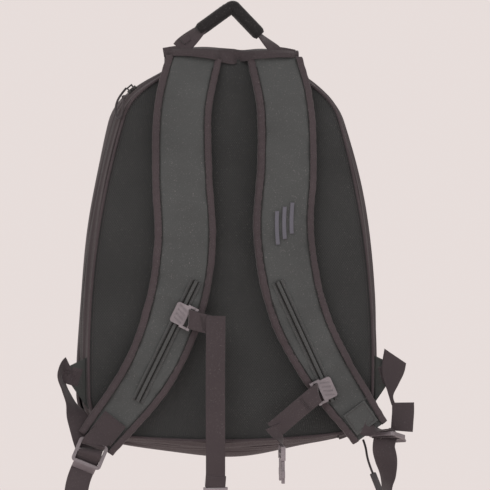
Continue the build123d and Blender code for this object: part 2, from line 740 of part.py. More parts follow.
def strap_wing(side):
    """Triangular fabric tab in the side seam that holds the adjuster webbing."""
    x, y, z = WING_TIP
    root = -between(REAR, BELLY, y + WING_THICK).half_width - 0.2
    tip = [(root, 0, z - WING_HALF_HEIGHT), (root, 0, z + WING_HALF_HEIGHT), (x, 0, z + 9), (x, 0, z - 9)]
    face = Face(Wire([Line(tip[i], tip[(i + 1) % 4]).edge() for i in range(4)]))
    wing = Pos(0, y, 0) * extrude(face, WING_THICK, dir=(0, 1, 0))
    return wing if side < 0 else mirror(wing, Plane.YZ)


def anchor_webbing(start, end, width_axis):
    """Webbing from a wing towards its ladder lock."""
    reach = Vector(*end) - Vector(*start)
    side = Vector(*width_axis)
    out = reach.cross(side).normalized()
    plane = Plane(origin=Vector(*start) + reach * 0.5, x_dir=reach, z_dir=out)
    return plane * Box(reach.length, WEB_WIDTH, WEB)


# ---- zip sliders and pulls ---------------------------------------------------------------------
def arc_plane(centre, radius, angle, sign):
    """Plane on the zip line at an angle round one of its arcs: z out of the bag."""
    turn = radians(angle)
    normal = (sign * cos(turn), 0, sin(turn))
    origin = (sign * centre[0] + radius * normal[0], ZIP_Y, centre[1] + radius * normal[2])
    return Plane(origin=origin, x_dir=(-normal[2], 0, normal[0]), z_dir=normal)




def zip_slider(arc, radius, angle, sign):
    plane = arc_plane(arc, radius, angle, sign)
    lift = SLIDER_BODY[2] * 0.275 + RUN_GAP + 0.6
    return zip_body(plane.offset(lift))


def cord(route):
    """Cord along straight runs joined by tangent arcs; returns the solid and prints its radii."""
    points = [Vector(*point) for point in route]
    radii = []
    for before, point, after in zip(points, points[1:], points[2:]):
        arrive, leave = point - before, after - point
        turn = radians(arrive.get_angle(leave))
        radii.append(0.45 * min(arrive.length, leave.length) / tan(turn / 2))
    print("cord radii", [round(radius, 1) for radius in radii])
    path = FilletPolyline(*points, radius=radii)
    section = Plane(origin=points[0], z_dir=path % 0) * Circle(CORD / 2)
    solid = sweep(section, path=path)
    print("cord volume", round(solid.volume, 1), "from length", round(pi * CORD ** 2 / 4 * path.length, 1))
    return solid


def pull_sleeve():
    """Moulded sleeve at the end of the lower pull."""
    start, before = Vector(*PULL_RIGHT_ROUTE[-1]), Vector(*PULL_RIGHT_ROUTE[-2])
    plane = Plane(origin=start, z_dir=start - before)
    upright = (Align.CENTER, Align.CENTER, Align.MIN)
    body = plane * Box(SLEEVE_WIDTH, SLEEVE_WIDTH - 2, SLEEVE_LENGTH, align=upright)
    return fillet(body.edges(), 1.2)


def pull_knot():
    """Knot that closes the upper pull's cord."""
    end = Vector(*PULL_LEFT_ROUTE[-1])
    along = (end - Vector(*PULL_LEFT_ROUTE[-2])).normalized()
    knot = Pos(*(end + along * (KNOT_RADIUS * 0.8))) * Sphere(KNOT_RADIUS)
    trim = Plane(origin=end, z_dir=along) * Box(10, 10, 10, align=(Align.CENTER, Align.CENTER, Align.MAX))
    return knot - trim


# ---- the table of pieces -----------------------------------------------------------------------
_, shoulder_arc, corner_arc = ZIP.centres()

pieces = {
    "back_cover": back_cover(),
    "back_foam": back_foam(),
    "frame_sheet": frame_sheet(),
    "back_lining": back_lining(),
    "back_piping": back_piping(),
    "rear_gusset": rear_gusset(),
    "rear_base": rear_base(),
    "rear_zip_tape": rear_zip_tape(),
    "rear_base_hem": rear_base_hem(),
    "inner_sleeve": inner_sleeve(),
    "top_band": top_band(),
    "front_zip_tape": front_zip_tape(),
    "front_base_hem": front_base_hem(),
    "front_gusset": front_gusset(),
    "front_base": front_base(),
    "front_panel": front_panel(),
    "racket_divider": racket_divider(),
    "pocket_gusset": pocket_gusset(),
    "pocket_face": pocket_face(),
    "pocket_zip_tape": pocket_zip_tape(),
    "pocket_slider": pocket_slider(),
    "pocket_pull": pocket_pull(),
    "handle_grip": handle_grip(),
    "handle_webbing": handle_webbing(),
    "handle_anchors": handle_anchors(),
    "strap_pad_left": strap_pad(STRAP_LEFT_LINE),
    "strap_pad_right": strap_pad(STRAP_RIGHT_LINE),
    "strap_binding_left": strap_binding(STRAP_LEFT_LINE),
    "strap_binding_right": strap_binding(STRAP_RIGHT_LINE),
    "sternum_rail_left": sternum_rail(RAIL_LEFT),
    "sternum_rail_right": sternum_rail(RAIL_RIGHT),
    "sternum_slider_left": sternum_slider(RAIL_LEFT, SLIDER_LEFT_AT, 1),
    "sternum_slider_right": sternum_slider(RAIL_RIGHT, SLIDER_RIGHT_AT, -1),
    "sternum_webbing_left": chest_strap(RAIL_LEFT, SLIDER_LEFT_AT, 1, CHEST_LEFT_FOLD, CHEST_LEFT_END, False),
    "sternum_webbing_right": chest_strap(RAIL_RIGHT, SLIDER_RIGHT_AT, -1, CHEST_RIGHT_FOLD, CHEST_RIGHT_END,
                                         True),
    "sternum_keeper": chest_keeper(),
    "buckle_socket": female_buckle(),
    "buckle_plug": male_buckle(),
    "buckle_arm_outer": male_arm(-1),
    "buckle_arm_inner": male_arm(1),
    "ladder_lock_left": ladder_lock(LOCK_LEFT_PLANE),
    "ladder_lock_right": ladder_lock(LOCK_RIGHT_PLANE),
    "lock_patch_left": lock_patch(STRAP_LEFT_LINE, LOCK_LEFT_PLANE),
    "lock_patch_right": lock_patch(STRAP_RIGHT_LINE, LOCK_RIGHT_PLANE),
    "adjuster_tail_left": tail_left(),
    "adjuster_tail_right": tail_right(),
    "strap_wing_left": strap_wing(-1),
    "strap_wing_right": strap_wing(1),
    "anchor_webbing_left": anchor_webbing(*ANCHOR_LEFT, (1, 0, 0.28)),
    "anchor_webbing_right": anchor_webbing(*ANCHOR_RIGHT, (1, 0, 0)),
    "zip_slider_left": zip_slider(shoulder_arc, ZIP.shoulder_radius, LEFT_SLIDER_ANGLE, -1),
    "zip_slider_right": zip_slider(corner_arc, ZIP.corner_radius, RIGHT_SLIDER_ANGLE, 1),
    "zip_cord_left": cord(PULL_LEFT_ROUTE),
    "zip_cord_right": cord(PULL_RIGHT_ROUTE),
    "pull_knot": pull_knot(),
    "pull_sleeve": pull_sleeve(),
}

if __name__ == "__main__":
    for name, shape in pieces.items():
        export_step(shape, f"parts/{name}.step")
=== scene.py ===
"""Racket backpack hung by its carry handle: the fabric, webbing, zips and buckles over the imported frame."""
import math

import bmesh
import bpy
import numpy as np
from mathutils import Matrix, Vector


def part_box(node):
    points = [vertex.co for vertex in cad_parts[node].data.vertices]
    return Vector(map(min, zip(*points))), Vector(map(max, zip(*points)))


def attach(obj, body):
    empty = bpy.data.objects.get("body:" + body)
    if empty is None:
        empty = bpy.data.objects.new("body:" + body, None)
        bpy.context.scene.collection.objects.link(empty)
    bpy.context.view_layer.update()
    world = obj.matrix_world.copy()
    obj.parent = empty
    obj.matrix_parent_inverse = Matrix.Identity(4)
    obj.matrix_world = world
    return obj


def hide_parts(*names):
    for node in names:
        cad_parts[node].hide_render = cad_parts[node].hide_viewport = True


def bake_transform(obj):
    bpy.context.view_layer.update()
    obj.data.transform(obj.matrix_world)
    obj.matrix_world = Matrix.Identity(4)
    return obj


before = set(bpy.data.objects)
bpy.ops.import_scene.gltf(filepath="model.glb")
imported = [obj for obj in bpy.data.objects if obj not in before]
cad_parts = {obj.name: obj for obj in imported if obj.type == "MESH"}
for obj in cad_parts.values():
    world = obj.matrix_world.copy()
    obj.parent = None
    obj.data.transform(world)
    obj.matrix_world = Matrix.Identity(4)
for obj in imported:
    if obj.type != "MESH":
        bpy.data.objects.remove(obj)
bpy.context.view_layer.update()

# ---- View, floor and light ---------------------------------------------------------------------
# The pack hangs in front of the viewer with its shoulder straps forward, seen level with its
# middle and a little from its left. A pale floor lies well below it, under soft studio lamps.
VIEW_TARGET = Vector((0.0143, 0.0, -0.253))
VIEW_TURN = math.radians(-5.7)
VIEW_DISTANCE = 1.6
FLOOR_Z = -0.86
PALE = (0.80, 0.725, 0.705, 1)


def aimed(obj, place, target):
    """Puts a camera or lamp at a place and turns its -Z axis to the target."""
    obj.location = place
    obj.rotation_euler = (Vector(target) - Vector(place)).to_track_quat("-Z", "Y").to_euler()
    bpy.context.scene.collection.objects.link(obj)
    return obj


lens = bpy.data.cameras.new("camera")
lens.lens = 107
lens.sensor_width = 36
back = Vector((math.sin(VIEW_TURN), -math.cos(VIEW_TURN), 0))
bpy.context.scene.camera = aimed(
    bpy.data.objects.new("camera", lens), VIEW_TARGET + back * VIEW_DISTANCE, VIEW_TARGET)

for lamp_name, place, size, power in (
        ("key_lamp", (-0.9, -1.7, 0.9), 1.4, 17.0),
        ("fill_lamp", (1.4, -1.3, 0.1), 1.6, 8.0),
        ("low_lamp", (-0.2, -1.3, -1.1), 1.0, 9.0),
        ("rim_lamp", (0.3, 1.6, 0.9), 1.4, 14.0)):
    lamp = bpy.data.lights.new(lamp_name, "AREA")
    lamp.size = size
    lamp.energy = power
    aimed(bpy.data.objects.new(lamp_name, lamp), place, (0, 0.05, -0.27))

sky = bpy.data.worlds.new("studio")
sky.use_nodes = True
sky.node_tree.nodes["Background"].inputs["Color"].default_value = PALE
sky.node_tree.nodes["Background"].inputs["Strength"].default_value = 1.0
bpy.context.scene.world = sky
bpy.context.scene.view_settings.view_transform = "Standard"


def new_object(name, mesh):
    """Links a mesh as an object at the origin."""
    obj = bpy.data.objects.new(name, mesh)
    bpy.context.scene.collection.objects.link(obj)
    return obj


def grid_mesh(name, points, around=False, flip=False):
    """Mesh from a grid of points (rows, columns, xyz); around joins the last column to the first.
    Its UV map is the distance in metres along the rows and the columns."""
    rows, columns = points.shape[:2]
    if around:
        points = np.concatenate([points, points[:, :1]], axis=1)
        columns += 1
    across = np.linalg.norm(np.diff(points, axis=1), axis=2).mean(axis=0)
    along = np.linalg.norm(np.diff(points, axis=0), axis=2).mean(axis=1)
    u = np.concatenate([[0], np.cumsum(across)])
    v = np.concatenate([[0], np.cumsum(along)])
    index = np.arange(rows * columns).reshape(rows, columns)
    corner = [index[:-1, :-1], index[:-1, 1:], index[1:, 1:], index[1:, :-1]]
    if flip:
        corner.reverse()
    faces = np.stack(corner, axis=-1).reshape(-1, 4)
    mesh = bpy.data.meshes.new(name)
    mesh.from_pydata(points.reshape(-1, 3), [], faces)
    place = np.stack(np.meshgrid(u, v), axis=-1).reshape(-1, 2)
    layer = mesh.uv_layers.new(name="cloth")
    layer.data.foreach_set("uv", place[faces.ravel()].ravel())
    mesh.polygons.foreach_set("use_smooth", [True] * len(faces))
    if around:
        welder = bmesh.new()
        welder.from_mesh(mesh)
        bmesh.ops.remove_doubles(welder, verts=welder.verts, dist=1e-7)
        welder.to_mesh(mesh)
        welder.free()
    mesh.update()
    return new_object(name, mesh)


floor_across = np.linspace(-1.1, 1.1, 12)
floor_grid = np.stack([*np.meshgrid(floor_across, floor_across), np.full((12, 12), FLOOR_Z)], axis=-1)
floor_object = grid_mesh("floor", floor_grid)
floor_paint = bpy.data.materials.new("floor_paint")
floor_paint.use_nodes = True
floor_paint.node_tree.nodes["Principled BSDF"].inputs["Base Color"].default_value = PALE
floor_paint.node_tree.nodes["Principled BSDF"].inputs["Roughness"].default_value = 0.9
floor_object.data.materials.append(floor_paint)


# ---- Cloth surfaces ----------------------------------------------------------------------------
# Every fabric on the pack is woven or knitted from dark polyester or nylon. A weave group gives the height
# of the threads, which sets the bump and paints shade between the threads and light on their tops into the
# colour; a wear group gives the faint dust and fading that lie over it.
class Wiring:
    """Adds nodes to a tree; values that are sockets are linked, and others are set."""

    def __init__(self, tree):
        self.tree = tree

    def node(self, kind, values=(), **settings):
        node = self.tree.nodes.new(kind)
        for key, value in settings.items():
            setattr(node, key, value)
        for key, value in dict(values).items():
            if isinstance(value, bpy.types.NodeSocket):
                self.tree.links.new(value, node.inputs[key])
            else:
                node.inputs[key].default_value = value
        return node

    def maths(self, operation, *values):
        return self.node("ShaderNodeMath", enumerate(values), operation=operation).outputs[0]

    def wave(self, value, pitch):
        """Sine of a length, once each pitch, from -1 to 1."""
        turns = self.maths("MULTIPLY", self.maths("DIVIDE", value, pitch), 2 * math.pi)
        return self.maths("SINE", turns)


def shader_group(name, inputs, outputs, fill):
    """Node group with named inputs and outputs; fill adds its nodes and returns its results."""
    tree = bpy.data.node_groups.new(name, "ShaderNodeTree")
    for title, kind, default in inputs:
        socket = tree.interface.new_socket(title, in_out="INPUT", socket_type=kind)
        if default is not None:
            socket.default_value = default
    for title, kind in outputs:
        tree.interface.new_socket(title, in_out="OUTPUT", socket_type=kind)
    wiring = Wiring(tree)
    start, end = tree.nodes.new("NodeGroupInput"), tree.nodes.new("NodeGroupOutput")
    for title, result in fill(wiring, start.outputs).items():
        tree.links.new(result, end.inputs[title])
    return tree


def split(wiring, vector):
    parts = wiring.node("ShaderNodeSeparateXYZ", {"Vector": vector})
    return parts.outputs["X"], parts.outputs["Y"]


def twill(wiring, given):
    """Diagonal ribs crossed by single threads."""
    x, y = split(wiring, given["Vector"])
    rib = wiring.wave(wiring.maths("ADD", x, y), given["Pitch"])
    thread = wiring.wave(y, wiring.maths("MULTIPLY", given["Pitch"], 0.5))
    height = wiring.maths("MULTIPLY_ADD", rib, 0.35, wiring.maths("MULTIPLY_ADD", thread, 0.15, 0.5))
    return {"Height": height}


def plain(wiring, given):
    """Threads over and under each other."""
    x, y = split(wiring, given["Vector"])
    height = wiring.maths("MULTIPLY", wiring.wave(x, given["Pitch"]), wiring.wave(y, given["Pitch"]))
    return {"Height": wiring.maths("MULTIPLY_ADD", height, 0.5, 0.5)}


def dotted(wiring, given):
    """Knitted mesh with rows of small round holes, each row half a pitch along."""
    x, y = split(wiring, given["Vector"])
    high = wiring.maths("MULTIPLY", given["Pitch"], 1.7)
    hole = wiring.maths("MULTIPLY", wiring.wave(x, given["Pitch"]), wiring.wave(y, high))
    sunk = wiring.maths("SMOOTH_MIN", wiring.maths("ADD", hole, 0.75), 0.6, 0.3)
    return {"Height": wiring.maths("MAXIMUM", sunk, 0.0)}


def ribbed(wiring, given):
    """Webbing: lengthwise ribs broken into a chevron by the weft."""
    x, y = split(wiring, given["Vector"])
    slant = wiring.maths("PINGPONG", x, wiring.maths("MULTIPLY", given["Pitch"], 1.5))
    rib = wiring.wave(wiring.maths("ADD", y, slant), given["Pitch"])
    weft = wiring.wave(x, wiring.maths("MULTIPLY", given["Pitch"], 3.0))
    return {"Height": wiring.maths("MULTIPLY_ADD", rib, 0.32, wiring.maths("MULTIPLY_ADD", weft, 0.18, 0.5))}


WEAVE_INPUTS = [("Vector", "NodeSocketVector", None), ("Pitch", "NodeSocketFloat", 0.001)]
WEAVES = {fill.__name__: shader_group(f"{fill.__name__}_weave", WEAVE_INPUTS, [("Height", "NodeSocketFloat")], fill)
          for fill in (twill, plain, dotted, ribbed)}


def worn(wiring, given):
    """Broad fading, and fine lint that catches on the threads."""
    broad = wiring.node("ShaderNodeTexNoise", {"Vector": given["Vector"], "Scale": 16.0, "Detail": 4.0})
    fine = wiring.node("ShaderNodeTexNoise", {"Vector": given["Vector"], "Scale": 900.0, "Detail": 2.0})
    lint = wiring.maths("SMOOTH_MAX", wiring.maths("SUBTRACT", fine.outputs["Fac"], 0.62), 0.0, 0.02)
    fade = wiring.maths("MULTIPLY", wiring.maths("SUBTRACT", broad.outputs["Fac"], 0.35), 1.6)
    return {"Fade": fade, "Lint": wiring.maths("MULTIPLY", lint, 4.0)}


WORN = shader_group("worn_cloth", [("Vector", "NodeSocketVector", None)],
                    [("Fade", "NodeSocketFloat"), ("Lint", "NodeSocketFloat")], worn)


def cloth(name, dark, light, weave, pitch, depth, source="UV", roughness=0.86, sheen=0.08, lint=0.35):
    """Fabric: painted shade between the threads and painted light on them, faded and a little linty."""
    material = bpy.data.materials.new(name)
    material.use_nodes = True
    wiring = Wiring(material.node_tree)
    surface = material.node_tree.nodes["Principled BSDF"]
    place = wiring.node("ShaderNodeTexCoord")
    flat = place.outputs["UV"]
    if source == "Object":
        flat = wiring.node("ShaderNodeMapping", {"Vector": place.outputs["Object"], "Rotation": (-math.pi / 2, 0, 0)})
        flat = flat.outputs["Vector"]
    threads = wiring.node("ShaderNodeGroup", node_tree=WEAVES[weave])
    wiring.tree.links.new(flat, threads.inputs["Vector"])
    threads.inputs["Pitch"].default_value = pitch
    wear = wiring.node("ShaderNodeGroup", node_tree=WORN)
    wiring.tree.links.new(place.outputs["Object"], wear.inputs["Vector"])
    # The colour mix is painted shade and light from the thread height, plus the real broad fading.
    share = wiring.maths("MULTIPLY_ADD", threads.outputs["Height"], 0.7,
                         wiring.maths("MULTIPLY", wear.outputs["Fade"], 0.35))
    shade = wiring.node("ShaderNodeMix", {"Factor": share}, data_type="RGBA")
    for key, value in (("A", (*dark, 1)), ("B", (*light, 1))):
        next(s for s in shade.inputs if s.name == key and s.type == "RGBA").default_value = value
    dusty = wiring.node("ShaderNodeMix", {"Factor": wiring.maths("MULTIPLY", wear.outputs["Lint"], lint)},
                        data_type="RGBA")
    first, second = [s for s in dusty.inputs if s.type == "RGBA"]
    wiring.tree.links.new([s for s in shade.outputs if s.type == "RGBA"][0], first)
    second.default_value = (0.3, 0.28, 0.28, 1)
    wiring.tree.links.new([s for s in dusty.outputs if s.type == "RGBA"][0], surface.inputs["Base Color"])
    rough = wiring.maths("MULTIPLY_ADD", wear.outputs["Fade"], 0.1, roughness - 0.04)
    wiring.tree.links.new(rough, surface.inputs["Roughness"])
    bump = wiring.node("ShaderNodeBump", {"Height": threads.outputs["Height"], "Distance": depth, "Strength": 0.8})
    wiring.tree.links.new(bump.outputs["Normal"], surface.inputs["Normal"])
    surface.inputs["Sheen Weight"].default_value = sheen
    surface.inputs["Sheen Roughness"].default_value = 0.45
    surface.inputs["Specular IOR Level"].default_value = 0.18
    return material


def finish_piece(obj, material, body, slot, *nodes):
    """Gives a piece its material and body, and hides the CAD nodes that it stands for; slot is not used.
    A piece with no body is left unattached."""
    obj.data.materials.append(material)
    if body:
        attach(obj, body)
    if nodes:
        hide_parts(*nodes)
    return obj


# ---- Bag shell ---------------------------------------------------------------------------------
# The shell is a back panel, a gusset and a front, cut from woven polyester with a thin foam
# backing. Its outline is drawn in tangent arcs, and its gusset swells from the panel to a belly.
SHELL_DEPTHS = (0.0, 0.060, 0.100, 0.150)
SHELL_SIZES = {
    "half_width": (0.158, 0.1725, 0.1675, 0.150),
    "top": (-0.0475, -0.0360, -0.0420, -0.062),
    "bottom": (-0.469, -0.495, -0.491, -0.472),
    "shoulder": (0.060, 0.066, 0.066, 0.062),
    "corner": (0.048, 0.066, 0.066, 0.056),
}
SHELL_SOFTNESS = 0.012
SIDE_RADIUS, WIDEST, SIDE_UP, SIDE_LOW = 0.94, -0.378, math.radians(16.3), math.radians(-2.4)


def bag_outline(half_width, top, bottom, shoulder, corner, count=480):
    """Points (x, z) round the bag, from the bottom centre anticlockwise. Each half is a bottom
    arc, a corner, a long side arc, a shoulder and a top arc, all tangent, at even spacing."""
    side = np.array([half_width - SIDE_RADIUS, WIDEST])
    toward = {angle: np.array([math.cos(angle), math.sin(angle)]) for angle in (SIDE_UP, SIDE_LOW)}
    high = side + (SIDE_RADIUS - shoulder) * toward[SIDE_UP]
    low = side + (SIDE_RADIUS - corner) * toward[SIDE_LOW]

    def cap(centre, edge, radius):
        reach = abs(centre[1] - edge)
        return (centre[0] ** 2 + reach ** 2 - radius ** 2) / (2 * (reach - radius))

    top_radius, bottom_radius = cap(high, top, shoulder), cap(low, bottom, corner)
    top_turn = math.atan2(high[1] - top + top_radius, high[0])
    low_turn = math.atan2(low[1] - bottom - bottom_radius, low[0])
    arcs = [((0, bottom + bottom_radius), bottom_radius, -math.pi / 2, low_turn),
            (low, corner, low_turn, SIDE_LOW), (side, SIDE_RADIUS, SIDE_LOW, SIDE_UP),
            (high, shoulder, SIDE_UP, top_turn), ((0, top - top_radius), top_radius, top_turn, math.pi / 2)]
    half = []
    for centre, radius, start, stop in arcs:
        angle = np.linspace(start, stop, 60)
        half.append(np.stack([centre[0] + radius * np.cos(angle), centre[1] + radius * np.sin(angle)], axis=1))
    half = np.concatenate(half)
    loop = np.concatenate([half, half[::-1] * [-1, 1]])
    step = np.linalg.norm(np.diff(loop, axis=0), axis=1)
    keep = np.concatenate([[True], step > 1e-9])
    loop = loop[keep]
    length = np.concatenate([[0], np.cumsum(np.linalg.norm(np.diff(loop, axis=0), axis=1))])
    at = np.linspace(0, length[-1], count, endpoint=False)
    return np.stack([np.interp(at, length, loop[:, 0]), np.interp(at, length, loop[:, 1])], axis=1)


def shell_outline(y, count=480):
    """The bag's outline at a depth. Its sizes run straight between the shell's stations, and are
    averaged over a short stretch each side so that the cloth turns softly at the belly."""
    near = y + SHELL_SOFTNESS * np.linspace(-1, 1, 9) * min(1.0, y / SHELL_SOFTNESS)
    sizes = {name: float(np.interp(near, SHELL_DEPTHS, values).mean()) for name, values in SHELL_SIZES.items()}
    return bag_outline(count=count, **sizes)


def outward(loop):
    """Unit normals of a closed loop of (x, z) points, pointing out of it."""
    ahead = np.roll(loop, -1, axis=0) - np.roll(loop, 1, axis=0)
    normal = np.stack([ahead[:, 1], -ahead[:, 0]], axis=1)
    return normal / np.linalg.norm(normal, axis=1, keepdims=True)


def crumple(points, wavelength, seed):
    """Smooth uneven value from -1 to 1 at each point: five sine waves in directions drawn from
    a seeded generator."""
    draw = np.random.default_rng(seed)
    total = np.zeros(points.shape[:-1])
    for _ in range(5):
        direction = draw.normal(size=3)
        direction /= np.linalg.norm(direction)
        pitch = wavelength * draw.uniform(0.7, 1.6)
        total += np.sin(points @ direction * 2 * math.pi / pitch + draw.uniform(0, 6.3))
    return total / 3


def shell_band(name, depths, rise, sag=0.0015, wavelength=0.09, seed=1, count=480, part=None):
    """Strip of the shell round the bag: the outline at each depth, moved out by rise(depth) and
    by a soft crumple. part keeps the stretch of columns between two shares of the way round."""
    rows = []
    for y in depths:
        loop = shell_outline(y, count)
        normal = outward(loop)
        flat = np.stack([loop[:, 0], np.full(count, y), loop[:, 1]], axis=1)
        swell = rise(y) + sag * crumple(flat, wavelength, seed)
        rows.append(flat + np.stack([normal[:, 0] * swell, np.zeros(count), normal[:, 1] * swell], axis=1))
    grid = np.array(rows)
    if part is None:
        return grid_mesh(name, grid, around=True, flip=True)
    first, last = (int(round(share * count)) for share in part)
    chosen = np.arange(first, last + 1) % count
    return grid_mesh(name, grid[:, chosen], flip=True)


def thickened(obj, thick, offset=-1.0):
    """Gives an open sheet its thickness, on its inner side."""
    solid = obj.modifiers.new("thickness", "SOLIDIFY")
    solid.thickness = thick
    solid.offset = offset
    return obj


SHELL = cloth("shell_cloth", (0.025, 0.020, 0.022), (0.062, 0.050, 0.053), "plain", 0.0009, 0.00012)
BASE = cloth("base_cloth", (0.030, 0.023, 0.025), (0.073, 0.057, 0.061), "twill", 0.0013, 0.00018, roughness=0.8)
TAPE = cloth("zip_tape_cloth", (0.020, 0.018, 0.019), (0.055, 0.048, 0.050), "ribbed", 0.0010, 0.00015)

# The zip ends at the two bottom corners; between them the base fabric joins the halves.
BASE_SHARE = 0.094
ZIPPED = (BASE_SHARE, 1 - BASE_SHARE)
UNZIPPED = (-BASE_SHARE, BASE_SHARE)


def ridge(y, at, width, height):
    return height * math.exp(-(((y - at) / width) ** 2))


rear_depths = np.concatenate([np.linspace(0.0, 0.018, 16), [0.0192, 0.0197]])
rear = shell_band("gusset_rear", rear_depths,
                  lambda y: ridge(y, 0.0155, 0.0035, 0.0022) - 0.0008 * (y < 0.0001), part=ZIPPED, seed=3)
thickened(rear, 0.0014)
finish_piece(rear, SHELL, "pack", "shell_fabric", "rear_gusset")
base_rear = shell_band("base_rear", rear_depths, lambda y: ridge(y, 0.012, 0.006, 0.0012), part=UNZIPPED, seed=4)
thickened(base_rear, 0.0014)
finish_piece(base_rear, BASE, "pack", "base_fabric", "rear_base")
hem_rear = shell_band("base_hem_rear", np.linspace(0.0190, 0.0256, 6), lambda y: 0.0, sag=0.0008, part=UNZIPPED)
thickened(hem_rear, 0.0014)
finish_piece(hem_rear, BASE, "pack", "base_fabric", "rear_base_hem")
tape_rear = shell_band("zip_tape_rear", np.linspace(0.0180, 0.0250, 6), lambda y: 0.0004, sag=0.0008,
                       part=ZIPPED)
thickened(tape_rear, 0.0009)
finish_piece(tape_rear, TAPE, "pack", "zip_tape", "rear_zip_tape")

tape_front = shell_band("zip_tape_front", np.linspace(0.0270, 0.0345, 6), lambda y: 0.0004, sag=0.0008,
                        part=ZIPPED)
thickened(tape_front, 0.0009)
finish_piece(tape_front, TAPE, "front_section", "zip_tape", "front_zip_tape")
hem_front = shell_band("base_hem_front", np.linspace(0.0265, 0.0335, 6), lambda y: 0.0, sag=0.0008, part=UNZIPPED)
thickened(hem_front, 0.0014)
finish_piece(hem_front, BASE, "front_section", "base_fabric", "front_base_hem")


def front_rise(y):
    """Flap over the zip, then a soft swell, then the rounded turn on to the front panel."""
    turn = max(0.0, (y - 0.138) / 0.012)
    return ridge(y, 0.0365, 0.0030, 0.0020) - 0.012 * (1 - math.sqrt(max(0.0, 1 - turn * turn)))


front_depths = np.concatenate([[0.0322, 0.0327], np.linspace(0.0340, 0.044, 8), np.linspace(0.048, 0.138, 30),
                               0.138 + 0.012 * np.sin(np.linspace(0.2, math.pi / 2, 8))])
front = shell_band("gusset_front", front_depths, front_rise, sag=0.0035, wavelength=0.16, part=ZIPPED, seed=7)
thickened(front, 0.0014)
finish_piece(front, SHELL, "front_section", "shell_fabric", "front_gusset")
base_front = shell_band("base_front", front_depths, front_rise, sag=0.0035, wavelength=0.16, part=UNZIPPED, seed=7)
thickened(base_front, 0.0014)
finish_piece(base_front, BASE, "front_section", "base_fabric", "front_base")


# ---- Front panel and front pocket --------------------------------------------------------------
# The front is one piece of shell cloth that bows out a little, with a zipped pocket sewn on it.
# The pocket is a gusset and a face with rounded corners; its zip runs straight across near its top.
def side_of(loop, heights, sign):
    """How far out an outline reaches at each height, on one side."""
    half = loop[loop[:, 0] * sign >= 0]
    half = half[np.argsort(half[:, 1])]
    return np.interp(heights, half[:, 1], half[:, 0], left=0.0, right=0.0)


def filled(name, loop, y, bow, rows=150, columns=110, flip=False):
    """Panel inside an outline: level rows, crowded near the top and bottom, each as wide as the
    outline; bow(share across, share up, x, z) gives how far each point stands along y."""
    low, high = loop[:, 1].min(), loop[:, 1].max()
    up = 0.5 - 0.5 * np.cos(np.linspace(0, math.pi, rows))
    heights = low + (high - low) * up
    left, right = side_of(loop, heights, -1)[:, None], side_of(loop, heights, 1)[:, None]
    across = np.sin(np.linspace(-math.pi / 2, math.pi / 2, columns))
    x = left + (right - left) * (across[None, :] + 1) / 2
    z = np.repeat(heights[:, None], columns, axis=1)
    depth = y + bow(across[None, :] + 0 * x, up[:, None] + 0 * x, x, z)
    return grid_mesh(name, np.stack([x, depth, z], axis=-1), flip=flip)


def pillow(across, up):
    """1 over the middle of a panel, falling to 0 at its edges."""
    return np.sqrt(np.clip(1 - across ** 2, 0, 1)) ** 0.7 * np.sqrt(np.clip(1 - (2 * up - 1) ** 2, 0, 1)) ** 0.7


def front_bow(across, up, x, z):
    flat = np.stack([x, 0 * x + 0.15, z], axis=-1)
    return 0.004 * pillow(across, up) + 0.0022 * crumple(flat, 0.13, 21) * pillow(across, up)


front_loop = shell_outline(0.150)
front_edge = np.stack([front_loop[:, 0], np.full(len(front_loop), 0.150), front_loop[:, 1]], axis=1)
front_loop = front_loop + outward(front_loop) * (front_rise(0.150) + 0.0035 * crumple(front_edge, 0.16, 7))[:, None]
front_face = filled("front_panel_cloth", front_loop, 0.1492, front_bow, flip=True)
thickened(front_face, 0.0014)
finish_piece(front_face, SHELL, "front_section", "shell_fabric", "front_panel")

pocket_low, pocket_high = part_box("pocket_gusset")
pocket_face_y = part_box("pocket_face")[1].y


def rounded_rectangle(half_width, low, high, radius, count=320):
    """Closed loop of (x, z) points: four straight sides and four quarter circles, evenly spaced."""
    corners = [(half_width - radius, low + radius, -90), (half_width - radius, high - radius, 0),
               (radius - half_width, high - radius, 90), (radius - half_width, low + radius, 180)]
    points = []
    for x, z, start in corners:
        angle = np.radians(np.linspace(start, start + 90, 24))
        points.append(np.stack([x + radius * np.cos(angle), z + radius * np.sin(angle)], axis=1))
    loop = np.concatenate(points + [points[0][:1]])
    length = np.concatenate([[0], np.cumsum(np.linalg.norm(np.diff(loop, axis=0), axis=1))])
    at = np.linspace(0, length[-1], count, endpoint=False)
    return np.stack([np.interp(at, length, loop[:, 0]), np.interp(at, length, loop[:, 1])], axis=1)


pocket_loop = rounded_rectangle(pocket_high.x, pocket_low.z, pocket_high.z, 0.028)
pocket_normal = outward(pocket_loop)
pocket_depth = np.concatenate([np.linspace(0.1475, pocket_face_y - 0.008, 14),
                               pocket_face_y - 0.008 + 0.008 * np.sin(np.linspace(0.2, math.pi / 2, 8))])
pocket_rows = []
for y in pocket_depth:
    turn = max(0.0, (y - pocket_face_y + 0.008) / 0.008)
    inward = 0.008 * (1 - math.sqrt(max(0.0, 1 - turn * turn)))
    level = np.stack([pocket_loop[:, 0], np.full(len(pocket_loop), y), pocket_loop[:, 1]], axis=1)
    move = 0.0012 * crumple(level, 0.07, 31) - inward
    pocket_rows.append(level + np.stack([pocket_normal[:, 0] * move, 0 * move, pocket_normal[:, 1] * move], axis=1))
pocket_side = grid_mesh("pocket_gusset_cloth", np.array(pocket_rows), around=True, flip=True)
thickened(pocket_side, 0.0014)
finish_piece(pocket_side, SHELL, "front_section", "shell_fabric", "pocket_gusset")

ZIP_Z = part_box("pocket_slider")[0].z / 2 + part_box("pocket_slider")[1].z / 2
ZIP_HALF = 0.084


